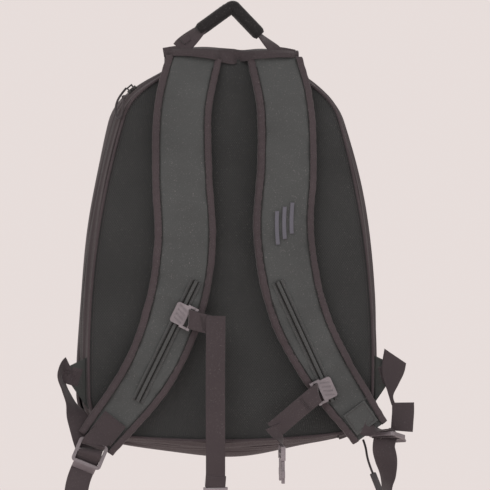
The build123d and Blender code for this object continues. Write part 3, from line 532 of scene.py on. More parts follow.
def pocket_bow(across, up, x, z):
    """The face bows out below its zip and dips along the zip's tape."""
    flat = np.stack([x, 0 * x + 0.18, z], axis=-1)
    swell = 0.0045 * pillow(across, up) + 0.0014 * crumple(flat, 0.08, 33) * pillow(across, up)
    groove = np.exp(-(((z - ZIP_Z) / 0.008) ** 2)) * np.clip((ZIP_HALF + 0.008 - np.abs(x)) / 0.01, 0, 1)
    return swell * (1 - groove) - 0.0012 * groove


face_loop = pocket_loop - pocket_normal * 0.0078
pocket_front = filled("pocket_face_cloth", face_loop, pocket_face_y - 0.0002, pocket_bow, 220, 110, flip=True)
thickened(pocket_front, 0.0014)
finish_piece(pocket_front, SHELL, "front_section", "shell_fabric", "pocket_face")


# ---- Straight and curved strips ----------------------------------------------------------------
# Webbing, tapes, pipings and cords are all one profile carried along a path, so one function
# makes them: the path is a smooth curve through a few points.
def smooth_path(points, count):
    """Curve through points by the cubic rule, sampled at even spacing. Columns after the third
    are values that follow along, such as the direction that a strip looks in."""
    points = np.asarray(points, float)
    ends = np.concatenate([[2 * points[0] - points[1]], points, [2 * points[-1] - points[-2]]])
    pieces = []
    for p0, p1, p2, p3 in zip(ends, ends[1:], ends[2:], ends[3:]):
        t = np.linspace(0, 1, 40, endpoint=False)[:, None]
        pieces.append(0.5 * (2 * p1 + (p2 - p0) * t + (2 * p0 - 5 * p1 + 4 * p2 - p3) * t ** 2
                             + (3 * p1 - p0 - 3 * p2 + p3) * t ** 3))
    curve = np.concatenate(pieces + [points[-1:]])
    length = np.concatenate([[0], np.cumsum(np.linalg.norm(np.diff(curve[:, :3], axis=0), axis=1))])
    at = np.linspace(0, length[-1], count)
    return np.stack([np.interp(at, length, column) for column in curve.T], axis=1)


def along_path(path):
    """Unit direction of a path at each of its points."""
    step = np.gradient(path, axis=0)
    return step / np.linalg.norm(step, axis=1, keepdims=True)


def squared(width, thick, count=20, power=4.0):
    """Closed profile of a flat strip with rounded edges, as (across, out) points."""
    angle = np.linspace(0, 2 * math.pi, count, endpoint=False)
    cosine, sine = np.cos(angle), np.sin(angle)
    return np.stack([width / 2 * np.sign(cosine) * np.abs(cosine) ** (2 / power),
                     thick / 2 * np.sign(sine) * np.abs(sine) ** (2 / power)], axis=1)


def carried(name, path, face, profile, closed=True, taper=None):
    """Profile carried along a path. face is the direction the strip looks in, one for all or one
    for each point; taper(share along) widens or narrows the profile. Its ends are capped."""
    path = np.asarray(path, float)
    forward = along_path(path)
    face = np.broadcast_to(np.asarray(face, float), path.shape)
    across = np.cross(forward, face)
    across /= np.linalg.norm(across, axis=1, keepdims=True)
    out = np.cross(across, forward)
    share = np.linspace(0, 1, len(path))
    scale = np.ones((len(path), 2)) if taper is None else np.array([taper(s) for s in share])
    grid = (path[:, None, :] + across[:, None, :] * (profile[None, :, :1] * scale[:, None, :1])
            + out[:, None, :] * (profile[None, :, 1:] * scale[:, None, 1:]))
    if closed:
        start = np.repeat(grid[:1].mean(axis=1, keepdims=True), grid.shape[1], axis=1)
        stop = np.repeat(grid[-1:].mean(axis=1, keepdims=True), grid.shape[1], axis=1)
        grid = np.concatenate([start, grid, stop])
    return grid_mesh(name, grid, around=closed, flip=True)


WEBBING = cloth("nylon_webbing", (0.022, 0.017, 0.019), (0.064, 0.050, 0.054), "twill", 0.0010, 0.00012,
                roughness=0.7, sheen=0.18)
BINDING = cloth("binding_tape", (0.023, 0.018, 0.020), (0.078, 0.061, 0.066), "twill", 0.0009, 0.00010,
                roughness=0.75, sheen=0.10)
THREAD = cloth("sewing_thread", (0.030, 0.025, 0.027), (0.085, 0.072, 0.076), "twill", 0.0006, 0.00005,
               roughness=0.6)


def stitched(name, path, face, body, slot, pitch=0.0032, stitch=0.0022, thick=0.00035):
    """Row of short stitches laid on a path: each is a flattened six-sided bead."""
    path = np.asarray(path, float)
    length = np.concatenate([[0], np.cumsum(np.linalg.norm(np.diff(path, axis=0), axis=1))])
    centre = np.arange(pitch / 2, length[-1], pitch)
    face = np.broadcast_to(np.asarray(face, float), path.shape)

    def read(table, at):
        return np.stack([np.interp(at, length, table[:, k]) for k in range(3)], axis=1)

    first, last = read(path, centre - stitch / 2), read(path, centre + stitch / 2)
    out = read(face, centre)
    out /= np.linalg.norm(out, axis=1, keepdims=True)
    run = last - first
    run /= np.linalg.norm(run, axis=1, keepdims=True)
    side = np.cross(run, out)
    middle = (first + last) / 2 + out * thick * 0.7
    corners = np.stack([first, middle + side * thick, last, middle - side * thick, middle + out * thick * 0.6],
                       axis=1)
    count = len(centre)
    base = np.arange(count)[:, None] * 5
    faces = np.concatenate([base + np.array([a, b, 4]) for a, b in ((0, 1), (1, 2), (2, 3), (3, 0))])
    faces = np.concatenate([faces, base + np.array([0, 3, 2]), base + np.array([0, 2, 1])])
    mesh = bpy.data.meshes.new(name)
    mesh.from_pydata(corners.reshape(-1, 3), [], faces[:, ::-1])
    mesh.update()
    return finish_piece(new_object(name, mesh), THREAD, body, slot)


# ---- Back panel --------------------------------------------------------------------------------
# Foam covered with black spacer mesh, sewn into the gusset with a piped seam. It is nearly flat,
# with a shallow crease low on the left and small puckers below the handle.
MESH_CLOTH = cloth("spacer_mesh", (0.016, 0.0165, 0.0165), (0.049, 0.051, 0.051), "dotted", 0.0021, 0.0004,
                   roughness=0.92, sheen=0.08)
CREASE_X, CREASE_Z = -0.063, -0.432
PUCKER_Z = -0.062


def panel_bow(across, up, x, z):
    """How far the mesh stands forward: a thin crown, one crease and a fan of puckers."""
    flat = np.stack([x, 0 * x, z], axis=-1)
    edge = pillow(across, up)
    crown = -0.0016 * edge - 0.0010 * crumple(flat, 0.11, 41) * edge
    crease = 0.0016 * np.exp(-(((x - CREASE_X) / 0.0035) ** 2) - ((z - CREASE_Z) / 0.026) ** 2)
    fan = 0.0009 * np.sin(x / 0.0042) * np.exp(-((x / 0.034) ** 2) - ((z - PUCKER_Z) / 0.016) ** 2)
    return crown + crease + fan


panel_loop = shell_outline(0.0)
panel_loop = panel_loop - outward(panel_loop) * 0.0012
panel = filled("back_panel_mesh", panel_loop, 0.0004, panel_bow, 200, 130)
thickened(panel, 0.0016)
finish_piece(panel, MESH_CLOTH, "pack", "mesh_fabric", "back_cover")

PIPING_SHARE = (0.0, 0.452)


def piping_side(sign):
    """Path of one side's piping, from the bottom centre to the top band, just in front of the seam."""
    loop = shell_outline(0.0)
    inner = loop - outward(loop) * 0.0016
    count = len(inner)
    half = inner[: int(count * PIPING_SHARE[1])] * [sign, 1]
    return np.stack([half[:, 0], np.full(len(half), -0.0012), half[:, 1]], axis=1)


ROUND_PIPE = squared(0.0030, 0.0030, 12, 2.0)
for side, sign in (("left", -1), ("right", 1)):
    route = piping_side(sign)
    pipe = carried(f"panel_piping_{side}", route, (0, -1, 0), ROUND_PIPE)
    finish_piece(pipe, BINDING, "pack", "binding", "back_piping")
    stitched(f"panel_stitches_{side}", route * [0.975, 1, 1], (0, -1, 0), "pack", "binding")

# The seam between the gusset and the front panel carries a piping.
seam_path = np.stack([front_loop[:, 0], np.full(len(front_loop), 0.1500), front_loop[:, 1]], axis=1)
seam_path = np.concatenate([seam_path, seam_path[:2]])
front_pipe = carried("front_panel_piping", seam_path, (0, 1, 0), squared(0.0044, 0.0044, 12, 2.0))
finish_piece(front_pipe, BINDING, "front_section", "shell_fabric")
# The pocket's face carries one as well.
edge_path = np.stack([face_loop[:, 0], np.full(len(face_loop), pocket_face_y - 0.0010), face_loop[:, 1]], axis=1)
edge_path = np.concatenate([edge_path, edge_path[:2]])
pocket_pipe = carried("pocket_face_piping", edge_path, (0, 1, 0), squared(0.0036, 0.0036, 12, 2.0))
finish_piece(pocket_pipe, BINDING, "front_section", "shell_fabric")


# ---- Top band ----------------------------------------------------------------------------------
# A strip of gusset cloth turned down over the top seam, where the handle and the straps are sewn
# in. Its lower edge dips in the middle, with one pinched fold to the right of it.
BAND_LOW_X = (-0.080, -0.048, -0.020, 0.0, 0.018, 0.050, 0.080)
BAND_LOW_Z = (-0.0478, -0.0475, -0.0510, -0.0558, -0.0508, -0.0478, -0.0478)
BAND_HIGH_X = (-0.080, -0.030, 0.0, 0.010, 0.030, 0.080)
BAND_HIGH_Z = (-0.0385, -0.0355, -0.0372, -0.0388, -0.0368, -0.0385)
FOLD_X = 0.008


def top_band(columns=201, rows=26):
    """Grid of the band: its upper row lies on the shell, and its lower row hangs before the seam.
    It stands further forward where the straps are sewn in under it."""
    x = np.linspace(-0.0735, 0.0735, columns)
    soft = np.ones(17) / 17
    low, high = (np.convolve(np.pad(np.interp(x, at, z), 8, mode="edge"), soft, mode="valid")
                 for at, z in ((BAND_LOW_X, BAND_LOW_Z), (BAND_HIGH_X, BAND_HIGH_Z)))
    down = np.linspace(0, 1, rows)[:, None]
    loop = shell_outline(0.022)
    top = loop[loop[:, 1] > -0.12]
    top = top[np.argsort(top[:, 0])]
    shell = np.interp(x, top[:, 0], top[:, 1]) + 0.0012
    over = np.clip((np.abs(x - 0.002) - 0.012) / 0.012, 0, 1) * np.clip((0.0730 - np.abs(x)) / 0.010, 0, 1)
    forward = 0.0035 + 0.0100 * over * over * (3 - 2 * over)
    step = down[:, 0]
    depth = np.interp(step, (0, 0.2, 0.36, 0.5, 1), (0.0220, 0.0130, 0.0030, 0, 0))[:, None]
    front = np.interp(step, (0, 0.3, 0.5, 0.7, 1), (0, 0, 0.55, 0.9, 1.0))[:, None]
    height = (shell * np.interp(step, (0, 0.2), (1, 0))[:, None]
              + high * (np.interp(step, (0, 0.2), (0, 1)) - np.interp(step, (0.36, 1), (0, 1)))[:, None]
              + low * np.interp(step, (0.36, 1), (0, 1))[:, None])
    hang = np.clip((down - 0.3) / 0.7, 0, 1)
    pinch = np.exp(-(((x - FOLD_X + 0.006 * (1 - hang)) / 0.0036) ** 2)) * hang ** 0.7
    side = np.exp(-(((x - FOLD_X - 0.008) / 0.0050) ** 2)) * hang
    ripple = 0.0009 * np.sin(x / 0.0047 + 4 * down) * hang * np.exp(-(((x - FOLD_X) / 0.034) ** 2))
    y = depth - forward * front + 0.0045 * pinch - 0.0030 * side - ripple
    return np.stack([x - 0.0016 * side + 0 * down, y, height + 0.0022 * pinch], axis=-1)


band_grid = top_band()
band = grid_mesh("top_band_cloth", band_grid, flip=True)
thickened(band, 0.0013)
finish_piece(band, SHELL, "pack", "binding", "top_band")
stitched("top_band_stitches", band_grid[-4, 6:-6] + [0, -0.0003, 0], (0, -1, 0), "pack", "binding")


# ---- Carry handle ------------------------------------------------------------------------------
# A loop of webbing whose middle is wrapped in a padded sleeve. The sleeve is folded sharply over
# the hook, and the webbing runs down to two feet sewn flat beside the band.
GRIP_WIDE, GRIP_THICK = 0.0215, 0.0142
GRIP_CLOTH = cloth("grip_cloth", (0.006, 0.0056, 0.0058), (0.020, 0.018, 0.0185), "twill", 0.0012, 0.00015,
                   roughness=0.8, sheen=0.10)
grip_line = smooth_path([(-0.0372, 0, -0.0184), (-0.0285, 0, -0.0122), (-0.0165, 0, -0.0033), (-0.0060, 0, 0.0044),
                         (0.0002, 0, 0.0083), (0.0058, 0, 0.0036), (0.0140, 0, -0.0048), (0.0232, 0, -0.0142),
                         (0.0312, 0, -0.0224)], 110)


def grip_shape(share):
    """Full along each leg, pinched at the fold and closed in at both ends."""
    from_end = min(share, 1 - share)
    close = 1 - 0.22 * math.exp(-((from_end / 0.025) ** 2))
    fold = 1 - 0.10 * math.exp(-(((share - 0.49) / 0.035) ** 2))
    crease = 0.020 * math.sin(share * 120) * math.exp(-(((share - 0.49) / 0.13) ** 2))
    return close * (1 + crease * 0.6), close * fold * (1 + crease)


grip_face = np.stack([-along_path(grip_line)[:, 2], 0 * grip_line[:, 0], along_path(grip_line)[:, 0]], axis=1)
grip = carried("handle_grip_sleeve", grip_line, grip_face, squared(GRIP_WIDE, GRIP_THICK, 44, 2.6), taper=grip_shape)
finish_piece(grip, GRIP_CLOTH, "carry_handle", "grip", "handle_grip")
for name, shift in (("front", -1), ("rear", 1)):
    seam = grip_line[6:-6] + [0, shift * GRIP_WIDE * 0.47, 0] - grip_face[6:-6] * 0.0022
    stitched(f"handle_grip_stitches_{name}", seam, (0, shift, 0), "carry_handle", "grip", pitch=0.0036)

LEG_ROUTES = {
    "left": [(-0.0330, 0.0, -0.0155), (-0.0400, -0.001, -0.0220), (-0.0470, -0.0022, -0.0286),
             (-0.0530, -0.0034, -0.0345), (-0.0565, -0.0040, -0.0392)],
    "right": [(0.0280, 0.0, -0.0195), (0.0345, -0.001, -0.0262), (0.0405, -0.0022, -0.0322),
              (0.0452, -0.0034, -0.0368), (0.0480, -0.0040, -0.0400)],
}
LEG_FACES = {"left": [(-0.62, -0.55, 0.55), (-0.35, -0.9, 0.3), (0, -1, 0.15)],
             "right": [(0.70, -0.35, 0.60), (0.65, -0.6, 0.45), (0.30, -0.9, 0.2)]}
for side in ("left", "right"):
    route = smooth_path(LEG_ROUTES[side], 40)
    turn = smooth_path(LEG_FACES[side], 40)
    leg = carried(f"handle_webbing_{side}", route, turn, squared(0.0200 if side == "left" else 0.0150, 0.0021))
    finish_piece(leg, WEBBING, None, "webbing", "handle_webbing")
    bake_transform(leg)
    way = -1 if side == "left" else 1
    low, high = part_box("handle_anchors")
    foot_x = (low.x, -0.0515) if side == "left" else (high.x, 0.045)
    foot_line = [(foot_x[1], -0.0040, -0.0400), (sum(foot_x) / 2, -0.0042, -0.0412),
                 (foot_x[0], -0.0034, -0.0432)]
    foot = carried(f"handle_foot_{side}", smooth_path(foot_line, 24), (0, -1, 0.12), squared(0.0105, 0.0018))
    finish_piece(foot, WEBBING, "pack", "webbing", "handle_anchors")
    mark = np.array([(foot_x[1] + way * 0.003, -0.0052, -0.0400), (foot_x[0] - way * 0.003, -0.0046, -0.0428)])
    stitched(f"handle_foot_stitches_{side}", mark, (0, -1, 0), "pack", "webbing", pitch=0.0024, stitch=0.0019)
keeper = carried("handle_keeper", smooth_path([(-0.0478, -0.0030, -0.0262), (-0.0548, -0.0050, -0.0312)], 12),
                 (0.3, -0.9, 0.4), squared(0.0085, 0.0034))
finish_piece(keeper, WEBBING, None, "webbing")
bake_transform(keeper)


# ---- Shoulder straps ---------------------------------------------------------------------------
# Each strap is a foam board in twill, 12 mm thick, sewn into the top seam. It bows outwards to
# the armpit and narrows to the adjuster. Its two edges are bound with puckered tape.
STRAP_THICK, STRAP_TOP_THICK, STRAP_POWER = 0.0122, 0.0070, 5.0
STRAP_LINES = {
    "left": [(-0.0408, -0.0440), (-0.0547, -0.105), (-0.0555, -0.180), (-0.0525, -0.250),
             (-0.0633, -0.320), (-0.0928, -0.392), (-0.1485, -0.466)],
    "right": [(0.0456, -0.0440), (0.0570, -0.105), (0.0585, -0.170), (0.0550, -0.240),
              (0.0680, -0.316), (0.0970, -0.380), (0.1500, -0.458)],
}
STRAP_CLOTH = cloth("strap_twill", (0.034, 0.036, 0.036), (0.088, 0.093, 0.092), "twill", 0.0015, 0.00025,
                    roughness=0.88, sheen=0.2, lint=0.6)
# Near-black strips laid where shade falls along seams and slits: painted seam shadow.
SEAM_SHADOW_PAINT = cloth("seam_shadow", (0.010, 0.010, 0.010), (0.030, 0.030, 0.029), "twill", 0.0011, 0.0001)
PRINT_PAINT = cloth("strap_print", (0.070, 0.070, 0.085), (0.125, 0.122, 0.145), "twill", 0.0011, 0.00006,
                    roughness=0.6)


class Strap:
    """Frame of a shoulder strap: its middle line, its across and out directions, and its half
    width and half thickness at each station. Its section is a superellipse."""

    def __init__(self, line, stations=240):
        flat = smooth_path([(x, 0, z) for x, z in line], stations)
        below = np.clip((-0.044 - flat[:, 2]) / 0.050, 0, 1)
        ease = below * below * (3 - 2 * below)
        flat[:, 1] = -0.0052 - 0.0110 * ease
        self.path = flat
        self.share = np.linspace(0, 1, stations)
        forward = along_path(flat)
        self.across = np.cross(forward, [0, -1, 0])
        self.across /= np.linalg.norm(self.across, axis=1, keepdims=True)
        self.out = np.cross(self.across, forward)
        rise = 0.061 + 0.007 * np.sin(np.pi * self.share)
        fall = 0.068 - 0.021 * (1 - np.cos(np.pi * (self.share - 0.5)))
        self.half = np.where(self.share < 0.5, rise, fall) / 2
        self.half_thick = (STRAP_TOP_THICK + (STRAP_THICK - STRAP_TOP_THICK) * ease) / 2

    def surface(self, turn, lift=0.0, rows=slice(None)):
        """Points at an angle round the section, moved outwards by lift."""
        cosine, sine = np.cos(turn), np.sin(turn)
        shape = 2 / STRAP_POWER
        half, thick = self.half[rows, None], self.half_thick[rows, None]
        aside = (half - 0.0018 + lift) * np.sign(cosine) * np.abs(cosine) ** shape
        forth = (thick + lift) * np.sign(sine) * np.abs(sine) ** shape
        places = (self.path[rows, None] + self.across[rows, None] * aside[..., None]
                  + self.out[rows, None] * forth[..., None])
        places[..., 2] = np.minimum(places[..., 2], STRAP_TOP_Z)
        return places

    def front(self, share, aside, lift=0.0):
        """Points on the front face at shares of the way down and distances across."""
        share, aside = np.broadcast_arrays(share, aside)
        half = np.interp(share, self.share, self.half) - 0.0012
        thick = np.interp(share, self.share, self.half_thick)
        forth = thick * (1 - np.clip(np.abs(aside) / half, 0, 0.999) ** STRAP_POWER) ** (1 / STRAP_POWER) + lift
        read = [np.stack([np.interp(share, self.share, table[:, k]) for k in range(3)], axis=-1)
                for table in (self.path, self.across, self.out)]
        return read[0] + read[1] * aside[..., None] + read[2] * forth[..., None]


BINDING_WIDTH = 0.0075
STRAP_TOP_Z = -0.0468
straps = {side: Strap(line) for side, line in STRAP_LINES.items()}
for side, strap in straps.items():
    body = f"strap_{side}"
    seed = 51 if side == "left" else 57
    turn = np.linspace(0, 2 * math.pi, 84, endpoint=False)
    grid = strap.surface(turn[None, :] + 0 * strap.share[:, None], -0.0010)
    press = (1 - np.abs(np.cos(turn)) ** 6)[None, :, None]
    lower = np.clip((strap.share - 0.25) / 0.5, 0, 1)[:, None, None]
    bent = 0.0006 * np.sin(strap.share * 88 + 2 * np.sin(strap.share * 31))[:, None, None] * lower
    grid += strap.out[:, None] * ((0.0008 * crumple(grid, 0.035, seed)[..., None] + bent
                                   + 0.0006 * crumple(grid, 0.016, seed + 2)[..., None]) * press)
    capped = np.concatenate([np.repeat(grid[:1].mean(axis=1, keepdims=True), 84, axis=1), grid,
                             np.repeat(grid[-1:].mean(axis=1, keepdims=True), 84, axis=1)])
    pad = grid_mesh(f"strap_{side}_pad", capped, around=True)
    finish_piece(pad, STRAP_CLOTH, body, "strap_fabric", f"strap_pad_{side}")
    for edge, sign in (("inner", -1), ("outer", 1)):
        if side == "left":
            sign = -sign
        inward = np.clip((strap.half - BINDING_WIDTH) / strap.half, 0.1, 0.99)
        reach = np.arccos(inward ** (STRAP_POWER / 2))
        fan = np.linspace(-1, 1, 27)
        turn = fan[None, :] * reach[:, None] + (0 if sign > 0 else math.pi)
        length = strap.share * 0.47
        rough = 0.00075 if (side, edge) == ("right", "outer") else 0.00045
        drift = crumple(np.stack([length, 0 * length, 0 * length + seed], axis=1), 0.030, seed + 5)
        wave = rough * (np.sin(length / 0.0019 + 2.2 * drift) * 0.6 + drift)[:, None] + 0 * turn
        tape_grid = strap.surface(turn, 0.0008) + strap.out[:, None] * wave[..., None]
        tape_grid += strap.across[:, None] * (wave * sign * 0.5)[..., None]
        tape = grid_mesh(f"strap_{side}_binding_{edge}", tape_grid, flip=False)
        thickened(tape, 0.0005, 0.0)
        finish_piece(tape, BINDING, body, "binding", f"strap_binding_{side}")
        line = strap.front(strap.share[4:-4], sign * (strap.half[4:-4] - BINDING_WIDTH + 0.0007), 0.0013)
        # A near-black strip just inside each binding's stitch line is painted shadow of the seam.
        groove = strap.front(strap.share[6:-2], sign * (strap.half[6:-2] - BINDING_WIDTH - 0.0010), 0.0003)
        shadow = carried(f"strap_{side}_groove_{edge}", groove, (0, -1, 0), squared(0.0017, 0.0008, 10, 2.5))
        finish_piece(shadow, SEAM_SHADOW_PAINT, body, "strap_fabric")
        stitched(f"strap_{side}_stitches_{edge}", line, (0, -1, 0), body, "binding")

# Three short plain bars printed on the right strap.
for row, aside in enumerate((-0.008, 0.0, 0.008)):
    down = np.linspace(0.372 + 0.012 * row, 0.452 + 0.012 * row, 40)[:, None]
    wide = np.linspace(-0.0022, 0.0022, 6)[None, :] + aside
    bar = grid_mesh(f"strap_print_{row}", straps["right"].front(down, wide, 0.0009))
    thickened(bar, 0.0003, 0.0)
    finish_piece(bar, PRINT_PAINT, "strap_right", "strap_fabric")


# ---- Sternum rails -----------------------------------------------------------------------------
# A cord piping on each strap, sewn into a slit, on which the sternum clip slides.
def strap_rail(side):
    """The rail's straight path, from the CAD node's box: it falls outwards across the strap."""
    low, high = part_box(f"sternum_rail_{side}")
    inner, outer = (high.x, low.x) if side == "left" else (low.x, high.x)
    y = low.y + 0.0015
    shrink = 0.0015 if side == "left" else -0.0015
    return np.linspace((inner - shrink, y, high.z - 0.001), (outer + shrink, y, low.z + 0.001), 90)


for side in ("left", "right"):
    rail = strap_rail(side)
    bead = carried(f"sternum_rail_bead_{side}", rail - [0, 0.0003, 0], (0, -1, 0), squared(0.0034, 0.0034, 14, 2.0))
    finish_piece(bead, STRAP_CLOTH, f"strap_{side}", "binding", f"sternum_rail_{side}")
    # A near-black strip behind the bead is painted shade of the slit.
    groove = carried(f"sternum_rail_groove_{side}", rail + [0, 0.0027, 0], (0, -1, 0), squared(0.0086, 0.0016, 16, 3))
    finish_piece(groove, SEAM_SHADOW_PAINT, f"strap_{side}", "strap_fabric")
    sideways = np.cross(along_path(rail), [0, -1, 0])
    for edge, sign in (("inner", -1), ("outer", 1)):
        lip = rail + [0, 0.0022, 0] + sideways * sign * 0.0049
        fold = carried(f"sternum_rail_lip_{side}_{edge}", lip, (0, -1, 0), squared(0.0030, 0.0020, 12, 2.4))
        finish_piece(fold, STRAP_CLOTH, f"strap_{side}", "strap_fabric")
        stitched(f"sternum_rail_stitches_{side}_{edge}", lip - [0, 0.0010, 0], (0, -1, 0), f"strap_{side}", "binding")


# ---- Moulded plastic pieces --------------------------------------------------------------------
# The sternum sliders, the buckle, the ladder locks and the zip sliders keep their CAD shapes.
# Their corners are rounded, and the plastic has a fine grain with worn, paler edges.
def moulded(name, dark, light, roughness=0.42, grain=0.00012, metallic=0.0):
    """Moulded plastic or painted metal: colour, grain and scuffs over Object coordinates."""
    material = bpy.data.materials.new(name)
    material.use_nodes = True
    wiring = Wiring(material.node_tree)
    surface = next(n for n in material.node_tree.nodes if n.type == "BSDF_PRINCIPLED")
    where = wiring.node("ShaderNodeTexCoord", {}).outputs["Object"]
    cloud = wiring.node("ShaderNodeTexNoise", {"Vector": where, "Scale": 90.0, "Detail": 3.0}).outputs["Fac"]
    fine = wiring.node("ShaderNodeTexNoise", {"Vector": where, "Scale": 2600.0, "Detail": 2.0}).outputs["Fac"]
    pointed = wiring.node("ShaderNodeNewGeometry", {}).outputs["Pointiness"]
    worn = wiring.node("ShaderNodeMapRange", {"Value": pointed, "From Min": 0.52, "From Max": 0.62}).outputs["Result"]
    share = wiring.maths("ADD", wiring.maths("MULTIPLY", cloud, 0.7), wiring.maths("MULTIPLY", worn, 0.4))
    shade = wiring.node("ShaderNodeMix", {"Factor": share}, data_type="RGBA")
    colours = [s for s in shade.inputs if s.type == "RGBA"]
    colours[0].default_value, colours[1].default_value = (*dark, 1), (*light, 1)
    result = next(s for s in shade.outputs if s.type == "RGBA")
    material.node_tree.links.new(result, surface.inputs["Base Color"])
    rough = wiring.maths("ADD", wiring.maths("MULTIPLY", cloud, 0.16), roughness - 0.08)
    material.node_tree.links.new(rough, surface.inputs["Roughness"])
    bump = wiring.node("ShaderNodeBump", {"Strength": 0.35, "Distance": grain, "Height": fine}).outputs["Normal"]
    material.node_tree.links.new(bump, surface.inputs["Normal"])
    surface.inputs["Metallic"].default_value = metallic
    return material


def softened(node, width, material, body, slot, segments=2):
    """Merged copy of a CAD node with its corners rounded by width."""
    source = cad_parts[node]
    mesh = source.data.copy()
    mesh.materials.clear()
    shape = bmesh.new()
    shape.from_mesh(mesh)
    bmesh.ops.remove_doubles(shape, verts=shape.verts, dist=0.00002)
    bmesh.ops.dissolve_limit(shape, angle_limit=0.03, verts=shape.verts, edges=shape.edges)
    shape.to_mesh(mesh)
    shape.free()
    obj = new_object(f"{node}_moulded", mesh)
    bevel = obj.modifiers.new("round", "BEVEL")
    bevel.width, bevel.segments, bevel.limit_method, bevel.angle_limit = width, segments, "ANGLE", 0.5
    bevel.harden_normals = False
    for face in mesh.polygons:
        face.use_smooth = True
    finish_piece(obj, material, body, slot, node)
    return obj


ACETAL = moulded("mauve_acetal", (0.105, 0.090, 0.098), (0.220, 0.192, 0.207), roughness=0.38)
LOCK_ACETAL = moulded("lock_acetal", (0.092, 0.079, 0.086), (0.190, 0.165, 0.179), roughness=0.36)
DARK_METAL = moulded("painted_die_cast", (0.012, 0.011, 0.011), (0.045, 0.042, 0.042), roughness=0.35, metallic=0.4)
RUBBER = moulded("pull_rubber", (0.020, 0.018, 0.019), (0.055, 0.048, 0.052), roughness=0.6)
for side in ("left", "right"):
    softened(f"sternum_slider_{side}", 0.0006, ACETAL, f"sternum_slider_{side}", "buckle_plastic")
    softened(f"ladder_lock_{side}", 0.0007, LOCK_ACETAL, f"adjuster_{side}", "lock_plastic", 3)
    softened(f"zip_slider_{side}", 0.0004, DARK_METAL, f"zip_slider_{side}", "zip_metal")
softened("buckle_socket", 0.0008, ACETAL, "sternum_left", "buckle_plastic", 3)
softened("buckle_plug", 0.0006, ACETAL, "sternum_right", "buckle_plastic")
for side in ("outer", "inner"):
    softened(f"buckle_arm_{side}", 0.0006, ACETAL, f"buckle_arm_{side}", "buckle_plastic")
softened("pocket_slider", 0.0004, DARK_METAL, "pocket_slider", "zip_metal")
softened("pocket_pull", 0.0005, RUBBER, "pocket_pull", "pull_rubber")


# ---- Webbing on the straps and the base --------------------------------------------------------
# Nylon webbing, 25 mm wide: a patch sewn on each strap's end holds the ladder lock. A wing in the
# side seam sends webbing forwards to the lock, and its tail hangs from the lock's middle bar.
WEB_WIDE, WEB_THICK = 0.0250, 0.0018


def strip(name, points, faces, body, node=None, wide=WEB_WIDE, thick=WEB_THICK, count=90, taper=None, wave=0.0):
    """Webbing along a smooth path. faces are the directions it looks in: one for each point, or
    one for the whole strip."""
    faces = np.broadcast_to(np.asarray(faces, float), (len(points), 3))
    route = smooth_path(np.hstack([points, faces]), count)
    route, look = route[:, :3], route[:, 3:] / np.linalg.norm(route[:, 3:], axis=1, keepdims=True)
    share = np.linspace(0, 1, count)[:, None]
    route = route + look * (wave * np.sin(share * 9.0) * np.sin(share * math.pi))
    piece = carried(name, route, look, squared(wide, thick, 30, 5.0), taper=taper)
    finish_piece(piece, WEBBING, body, "webbing", *([node] if node else []))
    return piece


def box_stitches(name, corners, lift, body, cross=True, pitch=0.0026):
    """Sewn rectangle through four corners with its two diagonals, raised by the vector lift."""
    corners = np.array(corners, float) + lift
    face = np.asarray(lift, float) / np.linalg.norm(lift)
    for index, (a, b) in enumerate([(0, 1), (1, 2), (2, 3), (3, 0)] + [(0, 2), (1, 3)] * cross):
        line = corners[a] + (corners[b] - corners[a]) * np.linspace(0, 1, 30)[:, None]
        stitched(f"{name}_{index}", line, face, body, "webbing", pitch=pitch, stitch=pitch * 0.72, thick=0.0005)


LOCK_BARS = {"left": ((-0.15043, -0.0275, -0.46473), (0.92, 0, -0.39), (0, -1, 0)),
             "right": ((0.16199, -0.02192, -0.45982), (-0.72, 0.68, -0.12), (0.1, 0.28, 0.95))}
for side in ("left", "right"):
    bar, axis, face = (np.array(v, float) for v in LOCK_BARS[side])
    axis, face = axis / np.linalg.norm(axis), face / np.linalg.norm(face)
    strap, body = straps[side], f"strap_{side}"
    below = np.cross(axis, face) if np.cross(axis, face)[2] < 0 else -np.cross(axis, face)
    outs, end = strap.out[-8], float(strap.share[-1])
    flat = [strap.front(s, 0.0, 0.0011) for s in (0.925, 0.945, 0.965, 0.985)]
    patch = strip(f"lock_patch_web_{side}", flat, outs, body, f"lock_patch_{side}", wide=0.0285, thick=0.0026)
    if side == "right":
        patch.data.materials[0] = STRAP_CLOTH
    across = strap.across[-8] * 0.0120
    first, last = strap.front(0.929, 0.0, 0.0012), strap.front(0.978, 0.0, 0.0012)
    box_stitches(f"lock_patch_box_{side}", [first - across, first + across, last + across, last - across],
                 outs * 0.0014, body, cross=False)
    turn = [strap.front(0.972, 0.0, 0.0016), bar + face * 0.0034 - below * 0.0012,
            bar + face * 0.0030 + below * 0.0022,
            bar + below * 0.0036 - face * 0.0012, bar - face * 0.0034]
    strip(f"lock_loop_{side}", turn, [outs, face, face + below, below - 0.4 * face, -face], body, wide=0.0248)

